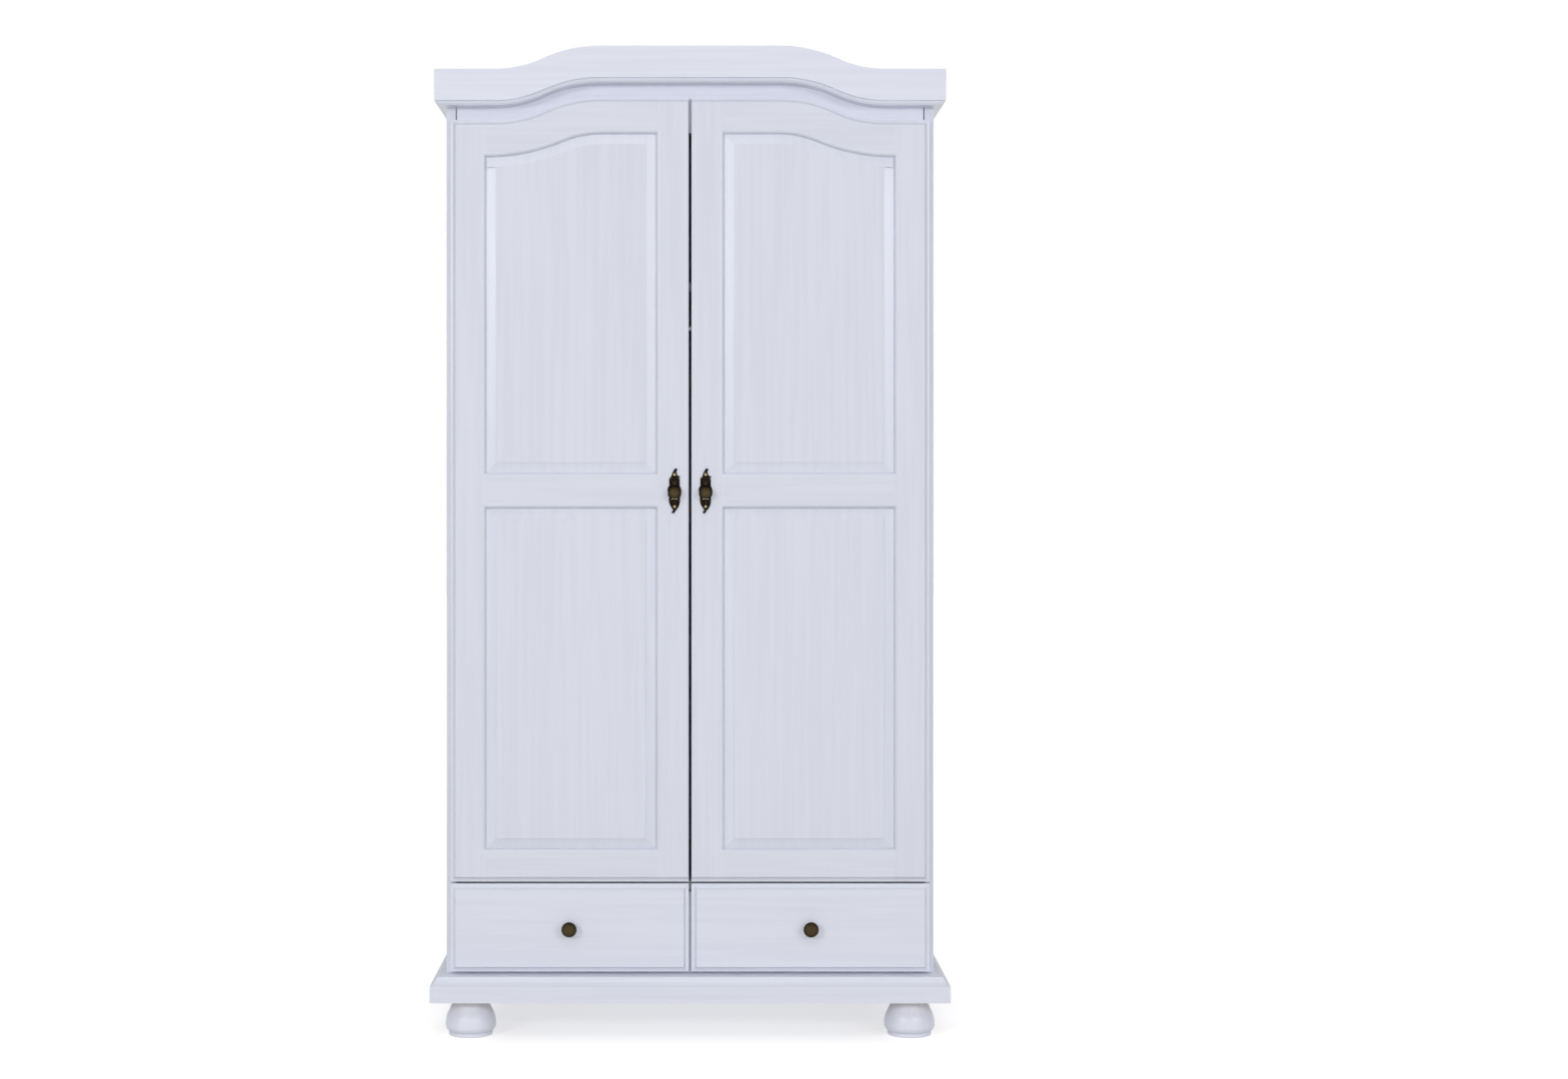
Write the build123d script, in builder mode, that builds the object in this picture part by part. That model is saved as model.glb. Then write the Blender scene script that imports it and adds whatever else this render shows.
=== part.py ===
"""Two-door wardrobe with two drawers below, on a moulded plinth with bun feet.

Millimetres, +Z up. The origin is on the floor under the middle of the wardrobe. The front faces -Y
and left and right are as seen from the front, so the right-hand side is +X.
"""
from build123d import *
import math
import os

os.makedirs("parts", exist_ok=True)

# ---------------------------------------------------------------- overall
overall_width = 1000.0
overall_depth = 580.0
overall_height = 1914.0

# ---------------------------------------------------------------- feet and plinth
foot_height = 74.0
foot_disc_radius = 42.5
foot_disc_height = 7.0
foot_belly_radius = 49.0
foot_belly_height = 22.5
foot_shoulder_radius = 41.5
foot_shoulder_height = 49.0
foot_neck_radius = 33.0
foot_edge_round = 1.5
foot_quirk = 0.8                  # small square groove above the disc
foot_low_bulge = (47.3, 13.0)     # (radius, height) on the curve between disc and belly
foot_high_bulge = (47.2, 35.8)    # between belly and shoulder
foot_neck_hollow = (36.4, 61.5)   # between shoulder and neck
foot_inset = 73.0                 # foot centre, from the plinth's outer faces
plinth_rail_height = 32.0
plinth_rail_thickness = 22.0
plinth_cap_thickness = 16.0
plinth_cap_width = 65.0
plinth_cove_in = 13.5
plinth_cove_radius = 19.7
corner_block_size = 98.0

# ---------------------------------------------------------------- carcass
carcass_front_setback = 60.0      # carcass front behind the plinth front
carcass_side_setback = 27.0       # carcass side inside the plinth side
side_thickness = 18.0
panel_thickness = 18.0            # bottom panel, top panel and the shelf over the drawers
top_panel_drop = 1.0              # top panel's underside, below the crown moulding's
divider_thickness = 16.0
shelf_setback = 20.0              # front edge of the shelf over the drawers, behind the carcass front
shelf_edge_round = 2.0
back_thickness = 4.0
back_recess = 8.0                 # back panels sit this far in from the rear edges
back_rebate_width = 9.0
back_batten_width = 60.0
seat_gap = 0.3                    # easy fit of one piece on another
hat_shelf_thickness = 16.0
hat_space_height = 334.0          # between the hat shelf and the top panel
hat_shelf_setback = 55.0
batten_height = 24.0
batten_thickness = 16.0
rail_drop = 58.0                  # rail centre below the hat shelf's underside
rail_radius = 12.5
rail_wall = 1.5
rail_socket_radius = 24.0
rail_socket_flange = 3.0
rail_socket_depth = 15.0
rail_socket_wall = 2.5
rail_fit = 0.2

# ---------------------------------------------------------------- cornice and frieze
arch_rise = 44.5
arch_run = 201.0                  # sideways length of each S-curve
arch_shoulder = 89.0              # flat stretch outside the S-curve, from the door's outer edge
arch_crest_radius = 260.0
cornice_height = 60.4
cornice_thickness = 19.6
cornice_overhang = 46.0           # cornice face in front of the carcass front
cornice_cover = 12.0              # cornice stands this far above the side panels
moulding_height = 8.0
moulding_step = 5.7               # moulding face behind the cornice face
moulding_bevel = 3.8
frieze_thickness = 22.0
frieze_depth_below_crown = 48.4   # frieze's lower edge, below the mouldings at the shoulders
frieze_rise_behind = 30.0
frieze_end_gap = 2.0

# ---------------------------------------------------------------- doors
door_thickness = 20.0
door_reveal = 9.0                 # side-panel edge left showing beside the doors
meeting_gap = 5.0
bumper_gap = 2.5
front_gap_bottom = 4.5
front_gap_middle = 4.0
door_top_gap = 25.3               # door top to the underside of the crown moulding
inner_stile_width = 55.0
outer_stile_width = 60.4
bottom_rail_height = 56.0
mid_rail_height = 52.1
mid_rail_centre = 1057.8
top_rail_height = 63.5
sticking_radius = 8.0
panel_arch_run = 221.0
panel_arch_shoulder = 10.6
panel_arch_rise = 44.5
panel_arch_radius = 200.0
panel_groove_depth = 9.0
panel_groove_front = 9.0          # groove's front wall, behind the door face
panel_groove_width = 6.0
panel_tongue_clearance = 1.0      # at the tongue's end, for movement
panel_bevel_width = 20.5
panel_bevel_rise = 5.0
panel_field_step = 1.7
panel_fit = 0.2
edge_cove_width = 10.0
edge_cove_depth = 8.0
edge_cove_radius = 10.5
meeting_round = 3.5
door_back_chamfer = 3.0

# ---------------------------------------------------------------- hinges
hinge_end_distance = 100.0        # lowest hinge above the door's lower edge
hinge_top_distance = 116.0        # highest hinge below the door's shoulder
hinge_pin_inset = 8.0             # pin axis, in from the door's outer edge
hinge_pin_depth = 7.0             # pin axis, in front of the door's back
hinge_pin_radius = 1.5
hinge_pin_clearance = 0.05
hinge_knuckle_radius = 2.9
hinge_knuckle_half = 5.4
hinge_cup_radius = 17.5
hinge_cup_edge = 3.0              # wood left beside the cup
hinge_cup_depth = 11.5
hinge_cup_fit = 0.1
hinge_bore_spare = 0.5
hinge_pocket_half = 6.0
hinge_pocket_floor = 1.0
hinge_pocket_end = 3.2            # pocket reaches this far past the pin
hinge_pocket_length = 28.0
hinge_flange_thickness = 1.0
hinge_flange_half = 26.0
hinge_flange_width = 26.0
hinge_flange_overhang = 9.0       # flange reaches this far outward past the cup's centre
hinge_flange_corner = 6.0
hinge_pin_seat = 0.8              # pin ends, into the cup's walls
hinge_arm_bend = 3.0
hinge_arm_thickness = 2.4
hinge_arm_offset = 12.0           # arm runs back this far in from the pin
hinge_arm_length = 48.0
hinge_plate_length = 34.0
hinge_plate_thickness = 2.5
hinge_plate_half = 22.0

# ---------------------------------------------------------------- drawers
drawer_front_height = 170.0
drawer_front_thickness = 20.0
drawer_side_thickness = 14.0
drawer_top_gap = 10.5             # drawer sides below the shelf
drawer_back_drop = 5.7            # drawer back below the sides' top edges
drawer_back_thickness = 14.0
drawer_box_length = 447.0
drawer_side_gap = 3.0
drawer_bay_gap = 8.0              # drawer sides above the bottom panel
drawer_bottom_thickness = 5.0
drawer_bottom_lift = 10.0
drawer_groove_depth = 6.0
drawer_groove_clearance = 0.5
runner_height = 16.0
runner_reach = 10.0
runner_lift = 60.0                # runner's underside above the bottom panel
runner_front_setback = 8.0
runner_length = 437.0
runner_fit = 0.3
runner_groove_clearance = 0.5

# ---------------------------------------------------------------- handles, pads and brackets
plate_width = 26.0
plate_height = 87.0
plate_thickness = 3.0
plate_waist = 7.5
plate_middle_share = 0.27         # half height of the wide middle, as a share of the plate's height
plate_lobe_distance = 25.0        # centre of each narrow end, from the plate's centre
plate_edge_bevel = 0.8
plate_centre_inset = 27.5         # plate centre, from the door's meeting edge
plate_centre_height = 1056.8
door_knob_radius = 10.5
door_knob_projection = 22.0
door_knob_drop = 3.0              # knob centre below the plate's centre
drawer_knob_radius = 14.5
drawer_knob_projection = 25.0
knob_base_share = 0.62            # radii of the turned knobs, as shares of the knob's radius
knob_neck_share = 0.42
knob_cheek_share = 0.70
knob_base_depth = 0.10            # places along the knob, as shares of its projection
knob_neck_depth = 0.30
knob_cheek_depth = 0.52
knob_belly_depth = 0.76
pad_radius = 4.0
pad_inset = 30.0
bracket_width = 30.0
bracket_leg = 40.0
bracket_thickness = 2.0
bracket_hole_radius = 3.0
bracket_hole_height = 27.0
bracket_side_distance = 150.0     # bracket centre, in from the carcass side

# ---------------------------------------------------------------- places worked out from the sizes
half_width = overall_width / 2
front_y = -overall_depth / 2
rear_y = overall_depth / 2
rail_top_z = foot_height + plinth_rail_height
plinth_top_z = rail_top_z + plinth_cap_thickness
carcass_x = half_width - carcass_side_setback
inner_x = carcass_x - side_thickness
carcass_front_y = front_y + carcass_front_setback
back_front_y = rear_y - back_recess - back_thickness

crown_crest_z = overall_height
crown_shoulder_z = crown_crest_z - arch_rise
cornice_crest_z = crown_crest_z - cornice_height
cornice_shoulder_z = cornice_crest_z - arch_rise
moulding_crest_z = cornice_crest_z - moulding_height
moulding_shoulder_z = moulding_crest_z - arch_rise
cornice_face_y = carcass_front_y - cornice_overhang
cornice_back_y = cornice_face_y + cornice_thickness
cornice_x = carcass_x + cornice_thickness
moulding_face_y = cornice_face_y + moulding_step
moulding_x = cornice_x - moulding_step
frieze_bottom_z = moulding_shoulder_z - frieze_depth_below_crown
frieze_back_y = carcass_front_y + frieze_thickness
side_top_z = crown_shoulder_z - cornice_cover
top_panel_z = moulding_shoulder_z - top_panel_drop

door_back_y = carcass_front_y - bumper_gap
door_face_y = door_back_y - door_thickness
door_in_x = meeting_gap / 2
door_out_x = carcass_x - door_reveal
drawer_low_z = plinth_top_z + front_gap_bottom
drawer_high_z = drawer_low_z + drawer_front_height
door_low_z = drawer_high_z + front_gap_middle
door_crest_z = moulding_crest_z - door_top_gap
door_shoulder_z = door_crest_z - arch_rise
arch_foot_x = door_out_x - arch_shoulder
arch_crest_x = arch_foot_x - arch_run

opening_in_x = door_in_x + inner_stile_width + sticking_radius
opening_out_x = door_out_x - outer_stile_width - sticking_radius
lower_opening_z = door_low_z + bottom_rail_height + sticking_radius
mid_rail_low_z = mid_rail_centre - mid_rail_height / 2 - sticking_radius
mid_rail_high_z = mid_rail_centre + mid_rail_height / 2 + sticking_radius
panel_foot_x = door_out_x - outer_stile_width - panel_arch_shoulder
panel_crest_x = panel_foot_x - panel_arch_run
opening_crest_z = door_crest_z - top_rail_height

bottom_panel_top_z = plinth_top_z + panel_thickness
shelf_top_z = drawer_high_z
shelf_low_z = shelf_top_z - panel_thickness
hat_shelf_z = top_panel_z - hat_space_height - hat_shelf_thickness
rail_z = hat_shelf_z - rail_drop
rail_y = (carcass_front_y + back_front_y) / 2

pin_x = door_out_x - hinge_pin_inset
pin_y = door_back_y - hinge_pin_depth
cup_x = door_out_x - hinge_cup_edge - hinge_cup_radius
hinge_low_z = door_low_z + hinge_end_distance
hinge_high_z = door_shoulder_z - hinge_top_distance
hinge_heights = (hinge_low_z, (hinge_low_z + hinge_high_z) / 2, hinge_high_z)

bay_in_x = divider_thickness / 2
drawer_box_in_x = bay_in_x + drawer_side_gap
drawer_box_out_x = inner_x - drawer_side_gap
drawer_box_low_z = bottom_panel_top_z + drawer_bay_gap
drawer_box_high_z = shelf_low_z - drawer_top_gap
drawer_box_back_y = door_back_y + drawer_box_length
drawer_centre_x = (door_in_x + door_out_x) / 2
drawer_centre_z = (drawer_low_z + drawer_high_z) / 2
drawer_face_y = door_back_y - drawer_front_thickness


# ---------------------------------------------------------------- helpers
def save(piece, name):
    """Label one finished piece and write it as its own STEP file."""
    piece.label = name
    export_step(piece, f"parts/{name}.step")


def save_pair(piece, name, first="right", second="left"):
    """Write a right-hand piece and its mirror image."""
    with BuildPart() as mirrored:
        mirror(piece, about=Plane.YZ)
    save(piece, f"{first}_{name}")
    save(mirrored.part, f"{second}_{name}")


def upright(y):
    """Upright plane at depth y: its sketches use X and Z, and extrude towards the front."""
    return Plane.XZ.offset(-y)


def board(x_range, y_range, z_range):
    """Square-edged board between the given limits."""
    with BuildPart() as plain:
        with BuildSketch(Plane.XY.offset(z_range[0])):
            with Locations(((x_range[0] + x_range[1]) / 2, (y_range[0] + y_range[1]) / 2)):
                Rectangle(x_range[1] - x_range[0], y_range[1] - y_range[0])
        extrude(amount=z_range[1] - z_range[0])
    return plain.part


def crown(crest_x, crest_z, run, rise, radius, inset=0.0):
    """S-curve from the crest down to the shoulder, as two tangent arcs, moved in by inset.

    Returns the crest end and the shoulder end.
    """
    turn = 2 * math.atan2(rise, run)
    crest = (crest_x, crest_z - inset)
    bend = (
        crest_x + (radius - inset) * math.sin(turn),
        crest_z - radius + (radius - inset) * math.cos(turn),
    )
    shoulder = (crest_x + run, crest_z - rise - inset)
    TangentArc(crest, bend, tangent=(1, 0))
    TangentArc(shoulder, bend, tangent=(-1, 0))
    return crest, shoulder


def cove_centre(depth, width, radius):
    """Centre of the hollow that cuts depth in from the face and width in from the edge.

    Given from the arris as (distance behind the face, distance past the edge).
    """
    chord = math.hypot(depth, width)
    lift = math.sqrt(radius ** 2 - (chord / 2) ** 2)
    return depth / 2 - lift * width / chord, -width / 2 + lift * depth / chord


def arched_band(low_crest_z, height, end_x):
    """Face of an arched band of even height, symmetric about the middle."""
    with BuildSketch() as band:
        with BuildLine():
            low_crest, low_shoulder = crown(
                arch_crest_x, low_crest_z, arch_run, arch_rise, arch_crest_radius
            )
            high_crest, high_shoulder = crown(
                arch_crest_x, low_crest_z + height, arch_run, arch_rise, arch_crest_radius
            )
            Polyline(low_shoulder, (end_x, low_shoulder[1]), (end_x, high_shoulder[1]), high_shoulder)
            Polyline(low_crest, (0, low_crest[1]), (0, high_crest[1]), high_crest)
        make_face()
        mirror(about=Plane.YZ)
    return band.sketch


# ---------------------------------------------------------------- feet
with BuildPart() as foot:
    with BuildSketch(Plane.XZ):
        with BuildLine():
            quirk_top = foot_disc_height + foot_quirk
            Polyline((0, foot_height), (0, 0), (foot_disc_radius - foot_edge_round, 0))
            RadiusArc(
                (foot_disc_radius - foot_edge_round, 0),
                (foot_disc_radius, foot_edge_round),
                -foot_edge_round,
            )
            Polyline(
                (foot_disc_radius, foot_edge_round),
                (foot_disc_radius, foot_disc_height),
                (foot_disc_radius - foot_quirk, foot_disc_height),
                (foot_disc_radius - foot_quirk, quirk_top),
                (foot_disc_radius, quirk_top),
            )
            ThreePointArc(
                (foot_disc_radius, quirk_top), foot_low_bulge, (foot_belly_radius, foot_belly_height)
            )
            ThreePointArc(
                (foot_belly_radius, foot_belly_height),
                foot_high_bulge,
                (foot_shoulder_radius, foot_shoulder_height),
            )
            ThreePointArc(
                (foot_shoulder_radius, foot_shoulder_height),
                foot_neck_hollow,
                (foot_neck_radius, foot_height),
            )
            Line((foot_neck_radius, foot_height), (0, foot_height))
        make_face()
    revolve(axis=Axis.Z)

foot_x = half_width - foot_inset
foot_y = overall_depth / 2 - foot_inset
with BuildPart() as feet:
    with Locations(*[(x, y, 0) for x in (-foot_x, foot_x) for y in (-foot_y, foot_y)]):
        add(foot.part)
save(feet.part, "bun_feet")

# ---------------------------------------------------------------- plinth
rail_inner_x = half_width - plinth_rail_thickness
rail_inner_y = overall_depth / 2 - plinth_rail_thickness
cap_inner_x = half_width - plinth_cap_width
cap_inner_y = front_y + plinth_cap_width

with BuildPart() as plinth_front_rail:
    with BuildSketch(Plane.XY.offset(foot_height)):
        Polygon(
            (-half_width, front_y),
            (half_width, front_y),
            (rail_inner_x, -rail_inner_y),
            (-rail_inner_x, -rail_inner_y),
            align=None,
        )
    extrude(amount=plinth_rail_height)
save(plinth_front_rail.part, "plinth_front_rail")

with BuildPart() as plinth_side_rails:
    with BuildSketch(Plane.XY.offset(foot_height)):
        Polygon(
            (half_width, front_y),
            (half_width, rear_y),
            (rail_inner_x, rear_y),
            (rail_inner_x, -rail_inner_y),
            align=None,
        )
        mirror(about=Plane.YZ)
    extrude(amount=plinth_rail_height)
save(plinth_side_rails.part, "plinth_side_rails")

with BuildPart() as plinth_back_rail:
    add(board((-rail_inner_x, rail_inner_x), (rail_inner_y, rear_y), (foot_height, rail_top_z)))
save(plinth_back_rail.part, "plinth_back_rail")

with BuildPart() as corner_blocks:
    with BuildSketch(Plane.XY.offset(foot_height)):
        block_x = rail_inner_x - corner_block_size / 2
        block_y = rail_inner_y - corner_block_size / 2
        with Locations(*[(x, y) for x in (-block_x, block_x) for y in (-block_y, block_y)]):
            Rectangle(corner_block_size, corner_block_size)
    extrude(amount=plinth_rail_height)
save(corner_blocks.part, "plinth_corner_blocks")

cap_cove_in, cap_cove_up = cove_centre(plinth_cove_in, plinth_cap_thickness, plinth_cove_radius)
with BuildPart() as plinth_front_cap:
    with BuildSketch(Plane.XY.offset(rail_top_z)):
        Polygon(
            (-half_width, front_y),
            (half_width, front_y),
            (cap_inner_x, cap_inner_y),
            (-cap_inner_x, cap_inner_y),
            align=None,
        )
    extrude(amount=plinth_cap_thickness)
    with BuildSketch(Plane.YZ.offset(-half_width)):
        with Locations((front_y + cap_cove_in, plinth_top_z + cap_cove_up)):
            Circle(plinth_cove_radius)
    extrude(amount=overall_width, mode=Mode.SUBTRACT)
save(plinth_front_cap.part, "plinth_front_cap")

with BuildPart() as plinth_side_caps:
    with BuildSketch(Plane.XY.offset(rail_top_z)):
        Polygon(
            (half_width, front_y),
            (half_width, rear_y),
            (cap_inner_x, rear_y),
            (cap_inner_x, cap_inner_y),
            align=None,
        )
    extrude(amount=plinth_cap_thickness)
    with BuildSketch(upright(rear_y)):
        with Locations((half_width - cap_cove_in, plinth_top_z + cap_cove_up)):
            Circle(plinth_cove_radius)
    extrude(amount=overall_depth, mode=Mode.SUBTRACT)
    mirror(about=Plane.YZ)
save(plinth_side_caps.part, "plinth_side_caps")

# ---------------------------------------------------------------- carcass
with BuildPart() as side_panel:
    add(board((inner_x, carcass_x), (carcass_front_y, rear_y), (plinth_top_z, side_top_z)))
    with BuildSketch(Plane.XY.offset(plinth_top_z)):
        with Locations((inner_x + back_rebate_width / 2, (back_front_y + rear_y) / 2)):
            Rectangle(back_rebate_width, rear_y - back_front_y)
    extrude(amount=side_top_z - plinth_top_z, mode=Mode.SUBTRACT)
save_pair(side_panel.part, "side_panel")

with BuildPart() as bottom_panel:
    add(board((-inner_x, inner_x), (carcass_front_y, back_front_y), (plinth_top_z, bottom_panel_top_z)))
save(bottom_panel.part, "bottom_panel")

with BuildPart() as drawer_divider:
    add(
        board(
            (-bay_in_x, bay_in_x), (carcass_front_y, back_front_y), (bottom_panel_top_z, shelf_low_z)
        )
    )
save(drawer_divider.part, "drawer_divider")

with BuildPart() as drawer_shelf:
    add(
        board(
            (-inner_x, inner_x),
            (carcass_front_y + shelf_setback, back_front_y),
            (shelf_low_z, shelf_top_z),
        )
    )
    fillet(edges().filter_by(Axis.X).group_by(Axis.Y)[0], radius=shelf_edge_round)
save(drawer_shelf.part, "drawer_shelf")

with BuildPart() as top_panel:
    add(
        board(
            (-inner_x, inner_x), (frieze_back_y, back_front_y), (top_panel_z, top_panel_z + panel_thickness)
        )
    )
save(top_panel.part, "top_panel")

with BuildPart() as frieze_board:
    with BuildSketch(upright(frieze_back_y)):
        with BuildLine():
            crest, shoulder = crown(
                arch_crest_x,
                moulding_crest_z + frieze_rise_behind,
                arch_run,
                arch_rise,
                arch_crest_radius,
            )
            Polyline(
                shoulder,
                (inner_x - frieze_end_gap, shoulder[1]),
                (inner_x - frieze_end_gap, frieze_bottom_z),
                (0, frieze_bottom_z),
                (0, crest[1]),
                crest,
            )
        make_face()
        mirror(about=Plane.YZ)
    extrude(amount=frieze_thickness)
save(frieze_board.part, "frieze_board")

with BuildPart() as hat_shelf:
    hat_shelf_front_y = carcass_front_y + hat_shelf_setback
    add(
        board(
            (-inner_x, inner_x),
            (hat_shelf_front_y, back_front_y),
            (hat_shelf_z, hat_shelf_z + hat_shelf_thickness),
        )
    )
    fillet(edges().filter_by(Axis.X).group_by(Axis.Y)[0], radius=shelf_edge_round)
save(hat_shelf.part, "hat_shelf")

with BuildPart() as shelf_battens:
    add(
        board(
            (inner_x - batten_thickness, inner_x),
            (hat_shelf_front_y + batten_thickness, back_front_y),
            (hat_shelf_z - batten_height, hat_shelf_z),
        )
    )
    mirror(about=Plane.YZ)
save(shelf_battens.part, "hat_shelf_battens")

# ---------------------------------------------------------------- back
with BuildPart() as back_panel:
    add(
        board(
            (seat_gap / 2, inner_x + back_rebate_width - seat_gap),
            (back_front_y, back_front_y + back_thickness),
            (plinth_top_z, top_panel_z + panel_thickness),
        )
    )
save_pair(back_panel.part, "back_panel")

with BuildPart() as back_batten:
    add(
        board(
            (-back_batten_width / 2, back_batten_width / 2),
            (back_front_y + back_thickness, rear_y),
            (plinth_top_z, top_panel_z + panel_thickness),
        )
    )
save(back_batten.part, "back_batten")

# ---------------------------------------------------------------- clothes rail
with BuildPart() as clothes_rail:
    rail_half = inner_x - rail_socket_flange - rail_fit
    with BuildSketch(Plane.YZ.offset(-rail_half)):
        with Locations((rail_y, rail_z)):
            Circle(rail_radius)
            Circle(rail_radius - rail_wall, mode=Mode.SUBTRACT)
    extrude(amount=2 * rail_half)
save(clothes_rail.part, "clothes_rail")

with BuildPart() as rail_sockets:
    with BuildSketch(Plane.YZ.offset(inner_x - rail_socket_flange)):
        with Locations((rail_y, rail_z)):
            Circle(rail_socket_radius)
    extrude(amount=rail_socket_flange)
    with BuildSketch(Plane.YZ.offset(inner_x - rail_socket_depth)):
        with Locations((rail_y, rail_z)):
            Circle(rail_radius + rail_fit + rail_socket_wall)
            Circle(rail_radius + rail_fit, mode=Mode.SUBTRACT)
    extrude(amount=rail_socket_depth - rail_socket_flange)
    mirror(about=Plane.YZ)
save(rail_sockets.part, "rail_sockets")

# ---------------------------------------------------------------- cornice
with BuildPart() as cornice_front:
    with BuildSketch(upright(cornice_back_y)):
        add(arched_band(cornice_crest_z, cornice_height, cornice_x))
    extrude(amount=cornice_thickness)
    with BuildSketch(Plane.XY.offset(cornice_shoulder_z)):
        Polygon(
            (cornice_x, cornice_face_y),
            (cornice_x, cornice_back_y),
            (carcass_x, cornice_back_y),
            align=None,
        )
        mirror(about=Plane.YZ)
    extrude(amount=cornice_height, mode=Mode.SUBTRACT)
save(cornice_front.part, "cornice_front")

with BuildPart() as cornice_return:
    with BuildSketch(Plane.XY.offset(cornice_shoulder_z)):
        Polygon(
            (cornice_x, cornice_face_y),
            (cornice_x, rear_y),
            (carcass_x, rear_y),
            (carcass_x, cornice_back_y),
            align=None,
        )
    extrude(amount=cornice_height)
save_pair(cornice_return.part, "cornice_return")

moulding_corner_y = moulding_face_y + moulding_x - carcass_x
with BuildPart() as cornice_moulding:
    with BuildSketch(upright(carcass_front_y)):
        add(arched_band(moulding_crest_z, moulding_height, moulding_x))
    extrude(amount=carcass_front_y - moulding_face_y)
    under = faces().filter_by(lambda face: face.normal_at().Z < -0.5)
    front = faces().sort_by(Axis.Y)[0]
    chamfer(front.edges() & under.edges(), length=moulding_bevel)
    with BuildSketch(Plane.XY.offset(moulding_shoulder_z)):
        Polygon(
            (moulding_x, moulding_face_y),
            (moulding_x, carcass_front_y),
            (carcass_x, carcass_front_y),
            (carcass_x, moulding_corner_y),
            align=None,
        )
        mirror(about=Plane.YZ)
    extrude(amount=moulding_height, mode=Mode.SUBTRACT)
save(cornice_moulding.part, "cornice_front_moulding")

with BuildPart() as side_mouldings:
    with BuildSketch(Plane.XY.offset(moulding_shoulder_z)):
        Polygon(
            (moulding_x, moulding_face_y),
            (moulding_x, rear_y),
            (carcass_x, rear_y),
            (carcass_x, moulding_corner_y),
            align=None,
        )
    extrude(amount=moulding_height)
    with BuildSketch(upright(rear_y)):
        Polygon(
            (moulding_x, moulding_shoulder_z),
            (moulding_x, moulding_shoulder_z + moulding_bevel),
            (moulding_x - moulding_bevel, moulding_shoulder_z),
            align=None,
        )
    extrude(amount=overall_depth, mode=Mode.SUBTRACT)
    mirror(about=Plane.YZ)
save(side_mouldings.part, "cornice_side_mouldings")


# ---------------------------------------------------------------- doors
def upper_opening(inset=0.0):
    """Arched opening of the upper panel at the inner line of the sticking, moved in by inset."""
    with BuildSketch() as opening:
        with BuildLine():
            crest, foot = crown(
                panel_crest_x,
                opening_crest_z,
                panel_arch_run,
                panel_arch_rise,
                panel_arch_radius,
                inset + sticking_radius,
            )
            low_z = mid_rail_high_z + inset
            Polyline(
                foot,
                (opening_out_x - inset, foot[1]),
                (opening_out_x - inset, low_z),
                (opening_in_x + inset, low_z),
                (opening_in_x + inset, crest[1]),
                crest,
            )
        make_face()
    return opening.sketch


def lower_opening(inset=0.0):
    """Square opening of the lower panel at the inner line of the sticking, moved in by inset."""
    with BuildSketch() as opening:
        with Locations(
            ((opening_in_x + opening_out_x) / 2, (lower_opening_z + mid_rail_low_z) / 2)
        ):
            Rectangle(
                opening_out_x - opening_in_x - 2 * inset, mid_rail_low_z - lower_opening_z - 2 * inset
            )
    return opening.sketch


cove_back, cove_past = cove_centre(edge_cove_depth, edge_cove_width, edge_cove_radius)

# Waste along the door's top edge: straight, round the two arcs of the S-curve, straight again.
door_turn = 2 * math.atan2(arch_rise, arch_run)
door_foot_radius = arch_run / math.sin(door_turn) - arch_crest_radius
with BuildPart() as top_cove:
    for start_x, end_x, edge_z in (
        (0, arch_crest_x, door_crest_z),
        (arch_foot_x, half_width, door_shoulder_z),
    ):
        with BuildSketch(Plane.YZ.offset(start_x)):
            with Locations((door_face_y + cove_back, edge_z + cove_past)):
                Circle(edge_cove_radius)
        extrude(amount=end_x - start_x)
    for centre_x, centre_z, edge_z in (
        (arch_crest_x, door_crest_z - arch_crest_radius, door_crest_z),
        (arch_foot_x, door_shoulder_z + door_foot_radius, door_shoulder_z),
    ):
        with BuildSketch(Plane.YZ.offset(centre_x)):
            with Locations((door_face_y + cove_back, edge_z + cove_past)):
                Circle(edge_cove_radius)
        revolve(axis=Axis((centre_x, 0, centre_z), (0, 1, 0)), revolution_arc=math.degrees(door_turn))

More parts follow.
